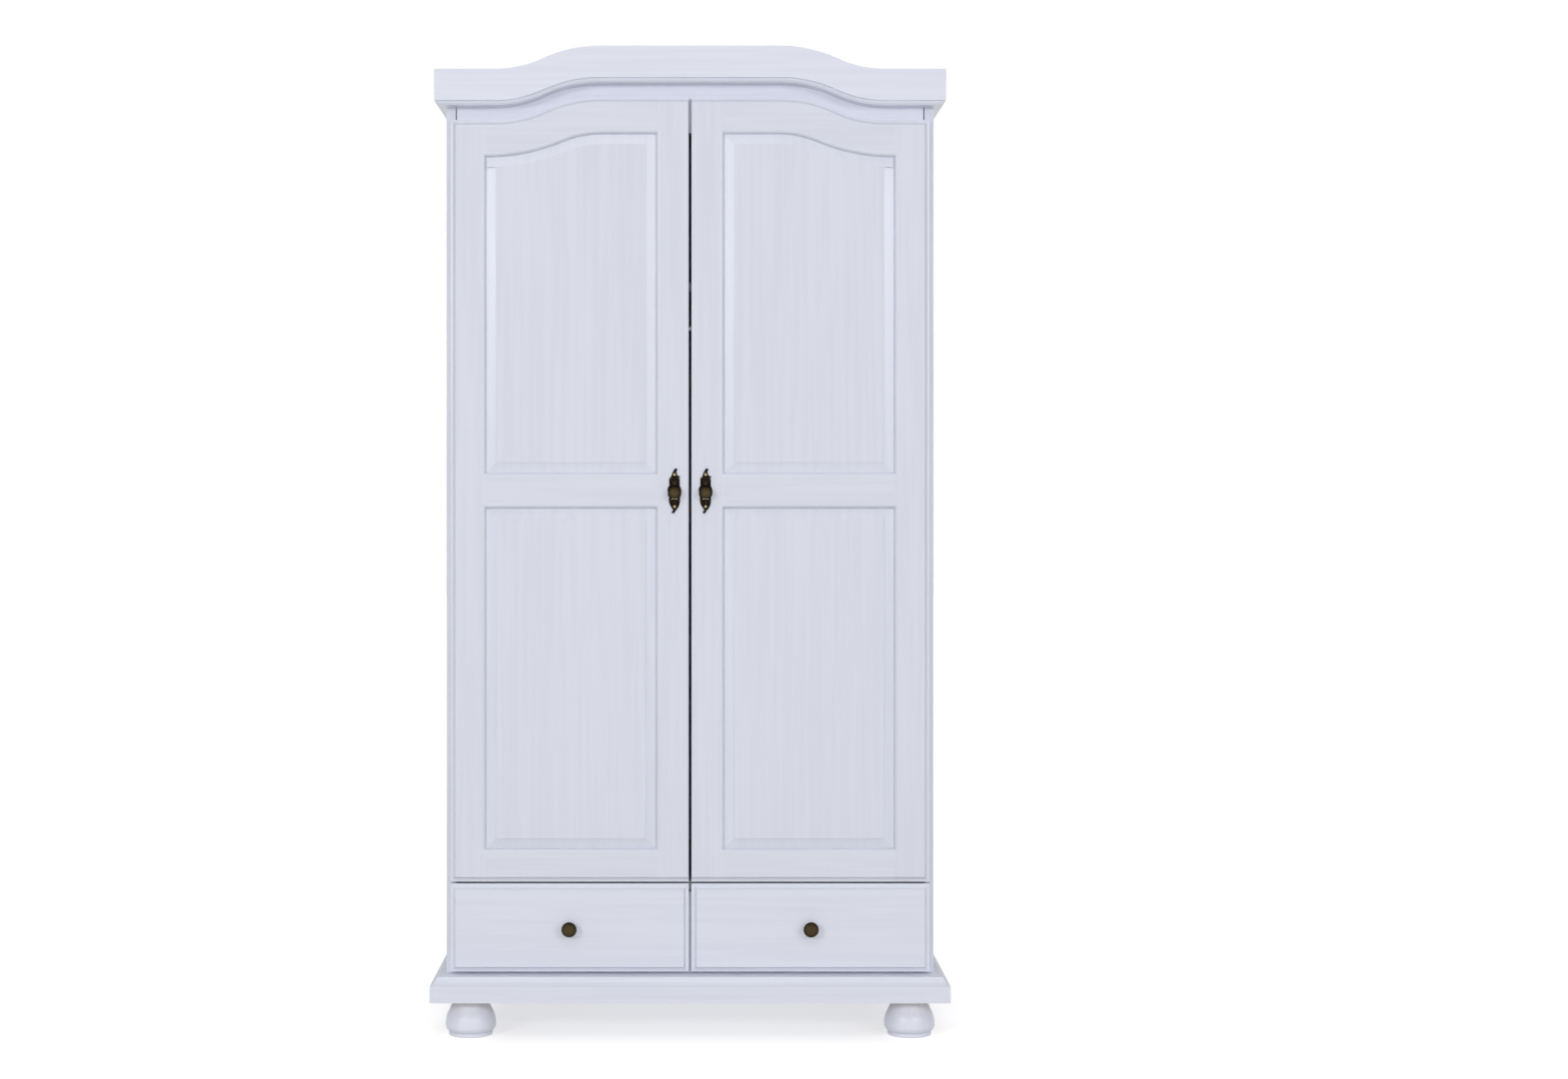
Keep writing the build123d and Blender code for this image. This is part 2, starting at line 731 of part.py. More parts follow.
# The whole right-hand door frame is moulded first, and then parted into stiles and rails.
with BuildPart() as door_frame:
    with BuildSketch(upright(door_back_y)):
        with BuildLine():
            crest, foot = crown(arch_crest_x, door_crest_z, arch_run, arch_rise, arch_crest_radius)
            Polyline(
                foot,
                (door_out_x, foot[1]),
                (door_out_x, door_low_z),
                (door_in_x, door_low_z),
                (door_in_x, crest[1]),
                crest,
            )
        make_face()
        add(upper_opening(), mode=Mode.SUBTRACT)
        add(lower_opening(), mode=Mode.SUBTRACT)
    extrude(amount=door_thickness)
    face = faces().sort_by(Axis.Y)[0]
    fillet([edge for wire in face.inner_wires() for edge in wire.edges()], radius=sticking_radius)
    fillet(
        edges().filter_by(Axis.Z).group_by(Axis.X)[0].group_by(Axis.Y)[0],
        radius=meeting_round,
    )
    chamfer(
        edges().filter_by(Axis.Z).group_by(Axis.X)[-1].group_by(Axis.Y)[-1],
        length=door_back_chamfer,
    )
    with BuildSketch(Plane.XY.offset(door_low_z)):
        with Locations((door_out_x + cove_past, door_face_y + cove_back)):
            Circle(edge_cove_radius)
    extrude(amount=door_crest_z - door_low_z, mode=Mode.SUBTRACT)
    with BuildSketch(Plane.YZ):
        with Locations((door_face_y + cove_back, door_low_z - cove_past)):
            Circle(edge_cove_radius)
    extrude(amount=half_width, mode=Mode.SUBTRACT)
    add(top_cove.part, mode=Mode.SUBTRACT)
    groove_back_y = door_face_y + panel_groove_front + panel_groove_width
    with BuildSketch(upright(groove_back_y)):
        add(upper_opening(-panel_groove_depth))
        add(lower_opening(-panel_groove_depth))
    extrude(amount=panel_groove_width, mode=Mode.SUBTRACT)
    with BuildSketch(upright(door_back_y)):
        with Locations(*[(cup_x, height) for height in hinge_heights]):
            Circle(hinge_cup_radius)
    extrude(amount=hinge_cup_depth + hinge_bore_spare, mode=Mode.SUBTRACT)

top_rail_split_z = (mid_rail_high_z + door_shoulder_z) / 2
frame_members = {
    "door_inner_stile": (door_in_x, opening_in_x, door_low_z, door_crest_z),
    "door_outer_stile": (opening_out_x, door_out_x, door_low_z, door_crest_z),
    "door_bottom_rail": (opening_in_x, opening_out_x, door_low_z, lower_opening_z),
    "door_mid_rail": (opening_in_x, opening_out_x, mid_rail_low_z, mid_rail_high_z),
    "door_top_rail": (opening_in_x, opening_out_x, top_rail_split_z, door_crest_z),
}
for member_name, (low_x, high_x, low_z, high_z) in frame_members.items():
    with BuildPart() as member:
        add(door_frame.part)
        add(
            board((low_x, high_x), (door_face_y, door_back_y), (low_z, high_z)), mode=Mode.INTERSECT
        )
    save_pair(member.part, member_name)

panel_back_y = groove_back_y - panel_fit
tongue_thickness = panel_groove_width - 2 * panel_fit
tongue_reach = panel_groove_depth - panel_tongue_clearance
tongue_face_y = panel_back_y - tongue_thickness
bevel_top_y = tongue_face_y - panel_bevel_rise
for panel_name, outline in (("door_upper_panel", upper_opening), ("door_lower_panel", lower_opening)):
    with BuildPart() as raised_panel:
        with BuildSketch(upright(panel_back_y)):
            add(outline(-tongue_reach))
        extrude(amount=tongue_thickness)
        with BuildSketch(upright(tongue_face_y)):
            add(outline(panel_fit))
        with BuildSketch(upright(bevel_top_y)):
            add(outline(panel_bevel_width))
        loft(ruled=True)
        with BuildSketch(upright(bevel_top_y)):
            add(outline(panel_bevel_width))
        extrude(amount=panel_field_step)
    save_pair(raised_panel.part, panel_name)

# ---------------------------------------------------------------- hinges
with BuildPart() as hinge_cups:
    with BuildSketch(upright(door_back_y)):
        with Locations(*[(cup_x, height) for height in hinge_heights]):
            Circle(hinge_cup_radius - hinge_cup_fit)
    extrude(amount=hinge_cup_depth)
    flange_x = cup_x - hinge_flange_width / 2 + hinge_flange_overhang
    with BuildSketch(upright(door_back_y + hinge_flange_thickness)):
        with Locations(*[(flange_x, height) for height in hinge_heights]):
            RectangleRounded(hinge_flange_width, 2 * hinge_flange_half, hinge_flange_corner)
    extrude(amount=hinge_flange_thickness)
    pocket_out_x = pin_x + hinge_pocket_end
    with BuildSketch(upright(door_back_y + hinge_flange_thickness)):
        with Locations(*[(pocket_out_x - hinge_pocket_length / 2, height) for height in hinge_heights]):
            Rectangle(hinge_pocket_length, 2 * hinge_pocket_half)
    extrude(amount=hinge_cup_depth + hinge_flange_thickness - hinge_pocket_floor, mode=Mode.SUBTRACT)
    for height in hinge_heights:
        pin_half = hinge_pocket_half + hinge_pin_seat
        with BuildSketch(Plane.XY.offset(height - pin_half)):
            with Locations((pin_x, pin_y)):
                Circle(hinge_pin_radius)
        extrude(amount=2 * pin_half)
save_pair(hinge_cups.part, "door_hinge_cups")

arm_x = pin_x - hinge_arm_offset
arm_back_y = pin_y + hinge_arm_length
with BuildPart() as hinge_arms:
    for height in hinge_heights:
        with BuildSketch(Plane.XY.offset(height - hinge_knuckle_half)):
            with BuildLine() as arm_line:
                FilletPolyline(
                    (pin_x, pin_y), (arm_x, pin_y), (arm_x, arm_back_y), radius=hinge_arm_bend
                )
            trace(arm_line.edges(), line_width=hinge_arm_thickness)
            with Locations((pin_x, pin_y)):
                Circle(hinge_knuckle_radius)
                Circle(hinge_pin_radius + hinge_pin_clearance, mode=Mode.SUBTRACT)
            plate_y = arm_back_y - hinge_plate_length / 2
            with Locations(((arm_x + inner_x) / 2, plate_y)):
                Rectangle(inner_x - arm_x, hinge_plate_length)
        extrude(amount=2 * hinge_knuckle_half)
        with BuildSketch(Plane.XY.offset(height - hinge_plate_half)):
            with Locations((inner_x - hinge_plate_thickness / 2, plate_y)):
                Rectangle(hinge_plate_thickness, hinge_plate_length)
        extrude(amount=2 * hinge_plate_half)
    mirror(about=Plane.YZ)
save(hinge_arms.part, "hinge_arms")

# ---------------------------------------------------------------- drawers
with BuildPart() as drawer_front:
    with BuildSketch(upright(door_back_y)):
        with Locations((drawer_centre_x, drawer_centre_z)):
            Rectangle(door_out_x - door_in_x, drawer_front_height)
    extrude(amount=drawer_front_thickness)
    with BuildSketch(Plane.YZ):
        with Locations(
            (drawer_face_y + cove_back, drawer_low_z - cove_past),
            (drawer_face_y + cove_back, drawer_high_z + cove_past),
        ):
            Circle(edge_cove_radius)
    extrude(amount=half_width, mode=Mode.SUBTRACT)
    with BuildSketch(Plane.XY.offset(drawer_low_z)):
        with Locations(
            (door_in_x - cove_past, drawer_face_y + cove_back),
            (door_out_x + cove_past, drawer_face_y + cove_back),
        ):
            Circle(edge_cove_radius)
    extrude(amount=drawer_front_height, mode=Mode.SUBTRACT)
save_pair(drawer_front.part, "drawer_front")

runner_low_z = bottom_panel_top_z + runner_lift
side_in_x = drawer_box_in_x + drawer_side_thickness
side_out_x = drawer_box_out_x - drawer_side_thickness
drawer_bottom_z = drawer_box_low_z + drawer_bottom_lift
with BuildPart() as drawer_sides:
    for low_x in (drawer_box_in_x, side_out_x):
        add(
            board(
                (low_x, low_x + drawer_side_thickness),
                (door_back_y, drawer_box_back_y),
                (drawer_box_low_z, drawer_box_high_z),
            )
        )
    groove_reach = runner_reach - drawer_side_gap + runner_groove_clearance
    groove_start_y = carcass_front_y + runner_front_setback - seat_gap
    for low_x in (drawer_box_in_x, drawer_box_out_x - groove_reach):
        add(
            board(
                (low_x, low_x + groove_reach),
                (groove_start_y, drawer_box_back_y),
                (runner_low_z - runner_groove_clearance, runner_low_z + runner_height + runner_fit),
            ),
            mode=Mode.SUBTRACT,
        )
    for low_x in (side_in_x - drawer_groove_depth, side_out_x):
        add(
            board(
                (low_x, low_x + drawer_groove_depth),
                (door_back_y, drawer_box_back_y),
                (drawer_bottom_z, drawer_bottom_z + drawer_bottom_thickness + seat_gap),
            ),
            mode=Mode.SUBTRACT,
        )
save_pair(drawer_sides.part, "drawer_sides")

with BuildPart() as drawer_back:
    drawer_back_z = drawer_bottom_z + drawer_bottom_thickness + seat_gap
    add(
        board(
            (side_in_x, side_out_x),
            (drawer_box_back_y - drawer_back_thickness, drawer_box_back_y),
            (drawer_back_z, drawer_box_high_z - drawer_back_drop),
        )
    )
save_pair(drawer_back.part, "drawer_back")

with BuildPart() as drawer_bottom:
    bottom_reach = drawer_groove_depth - drawer_groove_clearance
    add(
        board(
            (side_in_x - bottom_reach, side_out_x + bottom_reach),
            (door_back_y, drawer_box_back_y),
            (drawer_bottom_z, drawer_bottom_z + drawer_bottom_thickness),
        )
    )
save_pair(drawer_bottom.part, "drawer_bottom")

with BuildPart() as drawer_runners:
    for low_x in (bay_in_x, inner_x - runner_reach):
        add(
            board(
                (low_x, low_x + runner_reach),
                (carcass_front_y + runner_front_setback, door_back_y + runner_length),
                (runner_low_z, runner_low_z + runner_height),
            )
        )
    mirror(about=Plane.YZ)
save(drawer_runners.part, "drawer_runners")


# ---------------------------------------------------------------- handles
def turned_knob(radius, projection, base_y):
    """Round knob on a waisted stem, standing on a face at base_y and pointing to the front."""
    base = (radius * knob_base_share, base_y - projection * knob_base_depth)
    neck = (radius * knob_neck_share, base_y - projection * knob_neck_depth)
    cheek = (radius * knob_cheek_share, base_y - projection * knob_cheek_depth)
    belly = (radius, base_y - projection * knob_belly_depth)
    tip = (0, base_y - projection)
    with BuildPart() as knob:
        with BuildSketch(Plane.XY):
            with BuildLine():
                Polyline(tip, (0, base_y), (base[0], base_y), base)
                ThreePointArc(base, neck, cheek)
                Spline(cheek, belly, tip, tangents=((1, -0.2), (-1, 0)))
            make_face()
        revolve(axis=Axis.Y)
    return knob.part


plate_x = door_in_x + plate_centre_inset
plate_face_y = door_face_y - plate_thickness
with BuildPart() as handle_plate:
    with BuildSketch(upright(door_face_y)):
        with Locations((plate_x, plate_centre_height)):
            Ellipse(plate_width / 2, plate_height * plate_middle_share)
        with Locations(
            (plate_x, plate_centre_height + plate_lobe_distance),
            (plate_x, plate_centre_height - plate_lobe_distance),
        ):
            Ellipse(plate_waist, plate_height / 2 - plate_lobe_distance)
    extrude(amount=plate_thickness)
    chamfer(faces().sort_by(Axis.Y)[0].edges(), length=plate_edge_bevel)
save_pair(handle_plate.part, "door_handle_plate")

with BuildPart() as door_knob:
    with Locations((plate_x, 0, plate_centre_height - door_knob_drop)):
        add(turned_knob(door_knob_radius, door_knob_projection, plate_face_y))
save_pair(door_knob.part, "door_knob")

with BuildPart() as drawer_knob:
    with Locations((drawer_centre_x, 0, drawer_centre_z)):
        add(turned_knob(drawer_knob_radius, drawer_knob_projection, drawer_face_y))
save_pair(drawer_knob.part, "drawer_knob")

# ---------------------------------------------------------------- pads and wall brackets
with BuildPart() as bumper_pads:
    frieze_pad_z = frieze_bottom_z + 2 * pad_radius
    panel_pad_z = bottom_panel_top_z - pad_radius - seat_gap
    with BuildSketch(upright(carcass_front_y)):
        with Locations(
            (door_in_x + pad_inset, frieze_pad_z),
            (door_in_x + pad_inset, panel_pad_z),
            (door_out_x - 2 * pad_inset, panel_pad_z),
        ):
            Circle(pad_radius)
        mirror(about=Plane.YZ)
    extrude(amount=bumper_gap - seat_gap)
save(bumper_pads.part, "bumper_pads")

with BuildPart() as wall_brackets:
    bracket_x = carcass_x - bracket_side_distance
    bracket_z = top_panel_z + panel_thickness
    with BuildSketch(Plane.YZ.offset(bracket_x - bracket_width / 2)):
        Polygon(
            (rear_y - bracket_leg, bracket_z),
            (rear_y, bracket_z),
            (rear_y, bracket_z + bracket_leg),
            (rear_y - bracket_thickness, bracket_z + bracket_leg),
            (rear_y - bracket_thickness, bracket_z + bracket_thickness),
            (rear_y - bracket_leg, bracket_z + bracket_thickness),
            align=None,
        )
    extrude(amount=bracket_width)
    with BuildSketch(upright(rear_y)):
        with Locations((bracket_x, bracket_z + bracket_hole_height)):
            Circle(bracket_hole_radius)
    extrude(amount=bracket_thickness, mode=Mode.SUBTRACT)
    mirror(about=Plane.YZ)
save(wall_brackets.part, "wall_brackets")
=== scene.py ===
"""White painted wardrobe with two doors and two drawers, dressed and set in a studio.

The solid model gives every board its shape and place. This script gives each one its finish, and adds
what a cabinet maker would fit last: cast handle plates, turned knobs, screws and panel pins.
Lengths are in metres, unless a name or a comment says otherwise.
"""
import logging
import math
from dataclasses import dataclass, field
from enum import Enum
from typing import Callable, Iterable, Mapping, Sequence

import bmesh
import bpy
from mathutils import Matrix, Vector


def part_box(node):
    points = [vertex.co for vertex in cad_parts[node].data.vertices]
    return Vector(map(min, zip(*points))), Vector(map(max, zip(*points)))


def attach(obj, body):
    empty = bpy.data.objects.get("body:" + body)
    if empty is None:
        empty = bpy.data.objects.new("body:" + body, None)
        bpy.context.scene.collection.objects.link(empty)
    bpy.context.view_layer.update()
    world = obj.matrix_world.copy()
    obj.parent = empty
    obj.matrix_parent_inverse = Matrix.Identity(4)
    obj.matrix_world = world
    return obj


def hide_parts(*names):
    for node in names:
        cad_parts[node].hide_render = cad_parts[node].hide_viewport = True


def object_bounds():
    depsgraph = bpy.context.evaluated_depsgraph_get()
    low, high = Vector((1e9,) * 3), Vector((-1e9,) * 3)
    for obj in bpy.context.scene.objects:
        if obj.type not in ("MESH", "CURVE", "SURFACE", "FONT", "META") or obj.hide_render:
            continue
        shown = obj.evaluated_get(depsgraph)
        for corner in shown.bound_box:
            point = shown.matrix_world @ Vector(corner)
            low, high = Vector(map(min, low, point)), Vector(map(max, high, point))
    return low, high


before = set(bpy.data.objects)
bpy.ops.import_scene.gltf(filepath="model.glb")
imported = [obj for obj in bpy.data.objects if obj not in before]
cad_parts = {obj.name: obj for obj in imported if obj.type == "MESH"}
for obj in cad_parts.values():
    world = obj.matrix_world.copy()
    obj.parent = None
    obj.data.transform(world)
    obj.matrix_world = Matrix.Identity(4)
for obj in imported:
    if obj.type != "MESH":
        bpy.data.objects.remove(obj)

CAD_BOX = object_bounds()
MM = 0.001
CURVE_STEPS = 5
LOG = logging.getLogger("wardrobe")

Colour = tuple[float, float, float]
Point = tuple[float, float, float]


# ---------------------------------------------------------------- shader tools
class Wire:
    """An output socket that takes part in Python arithmetic."""

    def __init__(self, recipe: "Recipe", socket: bpy.types.NodeSocket) -> None:
        """Wrap one output socket of a recipe's tree."""
        self.recipe = recipe
        self.socket = socket

    def _math(self, operation: str, left: object, right: object) -> "Wire":
        """Add one Math node on two values."""
        return self.recipe.node("ShaderNodeMath", {"operation": operation}, {0: left, 1: right})

    def __add__(self, other: object) -> "Wire":
        """Return self + other."""
        return self._math("ADD", self, other)

    def __sub__(self, other: object) -> "Wire":
        """Return self - other."""
        return self._math("SUBTRACT", self, other)

    def __rsub__(self, other: object) -> "Wire":
        """Return other - self."""
        return self._math("SUBTRACT", other, self)

    def __mul__(self, other: object) -> "Wire":
        """Return self * other."""
        return self._math("MULTIPLY", self, other)


class Recipe:
    """One material and the tree that mixes it."""

    def __init__(self, name: str) -> None:
        """Start an empty material with a Principled shader on its output."""
        self.material = bpy.data.materials.new(name)
        self.material.use_nodes = True
        self.tree = self.material.node_tree
        self.tree.nodes.clear()
        end = self.tree.nodes.new("ShaderNodeOutputMaterial")
        self.shader = self.tree.nodes.new("ShaderNodeBsdfPrincipled")
        self.tree.links.new(self.shader.outputs["BSDF"], end.inputs["Surface"])

    def node(self, kind: str, settings: Mapping[str, object] | None = None,
             inputs: Mapping[object, object] | None = None, output: object = 0) -> Wire:
        """Add a node.

        Args:
            kind: The node's type.
            settings: Its properties, set first.
            inputs: A value or a Wire for each named or numbered socket.
            output: The name or number of the socket to return.

        Returns:
            The chosen output as a Wire.
        """
        made = self.tree.nodes.new(kind)
        for name, value in (settings or {}).items():
            setattr(made, name, value)
        for name, value in (inputs or {}).items():
            self._feed(made.inputs[name], value)
        return Wire(self, made.outputs[output])

    def _feed(self, socket: bpy.types.NodeSocket, value: object) -> None:
        """Link a Wire to a socket, or set the socket's own value."""
        if isinstance(value, Wire):
            self.tree.links.new(value.socket, socket)
        elif isinstance(value, tuple) and len(value) == 3 and socket.type == "RGBA":
            socket.default_value = (*value, 1.0)
        else:
            socket.default_value = value

    def surface(self, **values: object) -> None:
        """Set the shader's sockets, each by a keyword such as base_color."""
        for name, value in values.items():
            self._feed(self.shader.inputs[name.replace("_", " ").title()], value)

    def placed(self, offset: Point = (0, 0, 0), scale: Point = (1, 1, 1)) -> Wire:
        """Return Object coordinates, shifted and then scaled."""
        coordinates = self.node("ShaderNodeTexCoord", output="Object")
        shifted = self.node("ShaderNodeVectorMath", {"operation": "ADD"}, {0: coordinates, 1: offset})
        return self.node("ShaderNodeVectorMath", {"operation": "MULTIPLY"}, {0: shifted, 1: scale})

    def noise(self, where: Wire, scale: float, detail: float = 3.0, roughness: float = 0.5) -> Wire:
        """Return the value of a noise texture."""
        return self.node("ShaderNodeTexNoise", None,
                         {"Vector": where, "Scale": scale, "Detail": detail, "Roughness": roughness})

    def span(self, value: Wire, low: float, high: float, to_low: float, to_high: float) -> Wire:
        """Return a value mapped smoothly from one range to another."""
        return self.node(
            "ShaderNodeMapRange",
            {"interpolation_type": "SMOOTHSTEP"},
            {"Value": value, "From Min": low, "From Max": high, "To Min": to_low, "To Max": to_high},
        )

    def blend(self, factor: object, first: object, second: object) -> Wire:
        """Return a mix of two colours."""
        return self.node("ShaderNodeMix", {"data_type": "RGBA"}, {0: factor, 6: first, 7: second}, 2)

    def bump(self, height: Wire, distance: float) -> Wire:
        """Return a normal bent by a height, whose full step is distance."""
        return self.node("ShaderNodeBump", None, {"Strength": 1.0, "Distance": distance, "Height": height})


# ---------------------------------------------------------------- finishes
class Grain(Enum):
    """The direction that a board's grain runs in: its pattern is stretched that way."""

    UPRIGHT = (1.0, 1.0, 0.035)
    ACROSS = (0.035, 1.0, 1.0)
    INWARD = (1.0, 0.035, 1.0)


@dataclass(frozen=True)
class PaintedPine:
    """Cool white satin paint over pine, with the grain and a few knots just showing through."""

    name: str
    grain: Grain
    seed: float = 0.0
    lightness: float = 1.0
    shade: Colour = (0.652, 0.670, 0.758)
    tint: Colour = (0.678, 0.696, 0.782)
    knot: Colour = (0.630, 0.642, 0.720)
    relief: float = 0.09 * MM
    drift_scale: float = 11.0
    streak_scale: float = 85.0
    pore_scale: float = 420.0
    knot_scale: float = 6.5

    def make(self) -> bpy.types.Material:
        """Mix the material."""
        recipe = Recipe(f"{self.name}_{self.grain.name.lower()}")
        shade, tint, dull = (
            tuple(self.lightness * part for part in colour) for colour in (self.shade, self.tint, self.knot)
        )
        shift = (self.seed * 1.7, self.seed * 0.9, self.seed * 2.3)
        where = recipe.placed(shift, self.grain.value)
        drift = recipe.noise(where, self.drift_scale, 2.0)
        streak = recipe.noise(where, self.streak_scale, 4.0, 0.6)
        pore = recipe.noise(where, self.pore_scale, 2.0, 0.55)
        brush = recipe.span(streak, 0.35, 0.65, 0.0, 1.0)
        tone = recipe.span(drift * 0.55 + brush * 0.45, 0.22, 0.78, 0.0, 1.0)
        near = recipe.placed(shift, tuple(math.sqrt(part) for part in self.grain.value))
        cell = recipe.node("ShaderNodeTexVoronoi", None, {"Vector": near, "Scale": self.knot_scale})
        knot = recipe.span(cell, 0.02, 0.09, 1.0, 0.0)
        recipe.surface(
            base_color=recipe.blend(knot * 0.35, recipe.blend(tone, shade, tint), dull),
            roughness=recipe.span(streak + drift * 0.5, 0.5, 1.0, 0.30, 0.38),
            normal=recipe.bump(brush * 0.5 + pore * 0.3 + drift * 0.4 - knot * 0.3, self.relief),
        )
        return recipe.material


@dataclass(frozen=True)
class BarePine:
    """Sanded pine with a clear matt finish: growth rings and pores."""

    grain: Grain
    seed: float = 0.0
    early: Colour = (0.66, 0.47, 0.27)
    late: Colour = (0.46, 0.27, 0.12)
    relief: float = 0.3 * MM
    wander_scale: float = 6.0
    rings: float = 95.0
    fibre_scale: float = 320.0

    def make(self) -> bpy.types.Material:
        """Mix the material."""
        recipe = Recipe(f"bare_pine_{self.grain.name.lower()}")
        where = recipe.placed((self.seed * 1.3, self.seed * 0.7, self.seed), self.grain.value)
        wander = recipe.noise(where, self.wander_scale, 2.0)
        ring = recipe.node("ShaderNodeMath", {"operation": "SINE"}, {0: wander * self.rings})
        late = recipe.span(ring, -0.2, 1.0, 0.0, 1.0)
        fibre = recipe.noise(where, self.fibre_scale, 3.0, 0.6)
        recipe.surface(
            base_color=recipe.blend(late * 0.55 + fibre * 0.25, self.early, self.late),
            roughness=recipe.span(fibre, 0.3, 0.7, 0.5, 0.66),
            normal=recipe.bump(fibre * 0.5 + late * 0.3, self.relief),
        )
        return recipe.material


@dataclass(frozen=True)
class Hardboard:
    """Hardboard sheet: white lacquer towards the inside, brown fibre on the outside."""

    outer_face: float
    half_thickness: float = 2 * MM
    fade: float = 0.1 * MM
    white: Colour = (0.67, 0.685, 0.775)
    fibre: Colour = (0.25, 0.15, 0.08)
    fleck: Colour = (0.42, 0.28, 0.16)
    relief: float = 0.2 * MM
    fleck_scale: float = 240.0
    mesh_scale: float = 700.0

    def make(self) -> bpy.types.Material:
        """Mix the material."""
        recipe = Recipe("hardboard")
        where = recipe.placed()
        depth = recipe.node("ShaderNodeSeparateXYZ", None, {"Vector": where}, output="Y")
        halfway = self.outer_face - self.half_thickness
        outside = recipe.span(depth, halfway - self.fade, halfway + self.fade, 0.0, 1.0)
        flecks = recipe.noise(where, self.fleck_scale, 5.0, 0.7)
        mesh = recipe.node("ShaderNodeTexVoronoi", None, {"Vector": where, "Scale": self.mesh_scale})
        brown = recipe.blend(flecks, self.fibre, self.fleck)
        white = recipe.blend(flecks * 0.2, self.white, self.fibre)
        recipe.surface(
            base_color=recipe.blend(outside, white, brown),
            roughness=outside * 0.35 + 0.42,
            normal=recipe.bump(mesh * outside + flecks * 0.2, self.relief),
        )
        return recipe.material


@dataclass(frozen=True)
class AgedBrass:
    """Cast brass, darkened with age and rubbed bright where it stands proud."""

    name: str = "aged_brass"
    dark: Colour = (0.008, 0.005, 0.004)
    warm: Colour = (0.050, 0.034, 0.019)
    bright: Colour = (0.50, 0.42, 0.24)
    roughness: float = 0.46
    relief: float = 0.12 * MM
    cloud_scale: float = 260.0
    grit_scale: float = 1800.0

    def make(self) -> bpy.types.Material:
        """Mix the material. The mesh's own rub attribute says where it is worn."""
        recipe = Recipe(self.name)
        where = recipe.placed()
        worn = recipe.node("ShaderNodeAttribute", {"attribute_name": "rub"}, output="Fac")
        cloud = recipe.noise(where, self.cloud_scale, 4.0, 0.6)
        grit = recipe.noise(where, self.grit_scale, 3.0, 0.7)
        mellow = recipe.span(cloud * 0.5 + worn, 0.2, 0.75, 0.0, 1.0)
        shine = recipe.span(worn + cloud * 0.2, 0.78, 1.05, 0.0, 1.0)
        aged = recipe.blend(mellow, self.dark, self.warm)
        recipe.surface(
            base_color=recipe.blend(shine, aged, self.bright),
            metallic=0.9,
            roughness=self.roughness - shine * 0.2 + grit * 0.1,
            normal=recipe.bump(cloud * 0.5 + grit * 0.5, self.relief),
        )
        return recipe.material


@dataclass(frozen=True)
class PlatedSteel:
    """Plated steel with fine drawn lines."""

    name: str
    colour: Colour = (0.60, 0.61, 0.62)
    lines: Point = (1.0, 1.0, 0.05)
    roughness: float = 0.28
    relief: float = 0.03 * MM
    line_scale: float = 1500.0
    cloud_scale: float = 90.0

    def make(self) -> bpy.types.Material:
        """Mix the material."""
        recipe = Recipe(self.name)
        where = recipe.placed(scale=self.lines)
        line = recipe.noise(where, self.line_scale, 3.0, 0.6)
        cloud = recipe.noise(where, self.cloud_scale)
        recipe.surface(
            base_color=recipe.blend(cloud, self.colour, tuple(0.86 * part for part in self.colour)),
            metallic=1.0,
            roughness=line * 0.12 + cloud * 0.08 + (self.roughness - 0.1),
            normal=recipe.bump(line, self.relief),
        )
        return recipe.material


@dataclass(frozen=True)
class SoftRubber:
    """Milky soft pads."""

    colour: Colour = (0.70, 0.70, 0.67)
    dusty: Colour = (0.60, 0.60, 0.57)
    relief: float = 0.05 * MM
    grain_scale: float = 900.0

    def make(self) -> bpy.types.Material:
        """Mix the material."""
        recipe = Recipe("soft_rubber")
        fine = recipe.noise(recipe.placed(), self.grain_scale)
        recipe.surface(
            base_color=recipe.blend(fine, self.colour, self.dusty),
            roughness=fine * 0.15 + 0.5,
            normal=recipe.bump(fine, self.relief),
        )
        return recipe.material


# ---------------------------------------------------------------- studio
@dataclass(frozen=True)
class Lamp:
    """One square soft lamp, turned towards the middle of the wardrobe."""

    name: str
    place: Point
    size: float
    power: float
    mirrored: bool = True

    def hang(self) -> None:
        """Put the lamp in the scene."""
        data = bpy.data.lights.new(self.name, "AREA")
        data.shape = "SQUARE"
        data.size = self.size
        data.energy = self.power
        lamp = bpy.data.objects.new(self.name, data)
        lamp.location = self.place
        lamp.visible_glossy = self.mirrored
        aim = Vector((0.0, 0.0, 0.55 * CAD_BOX[1][2]))
        lamp.rotation_euler = (aim - Vector(self.place)).to_track_quat("-Z", "Y").to_euler()
        bpy.context.scene.collection.objects.link(lamp)


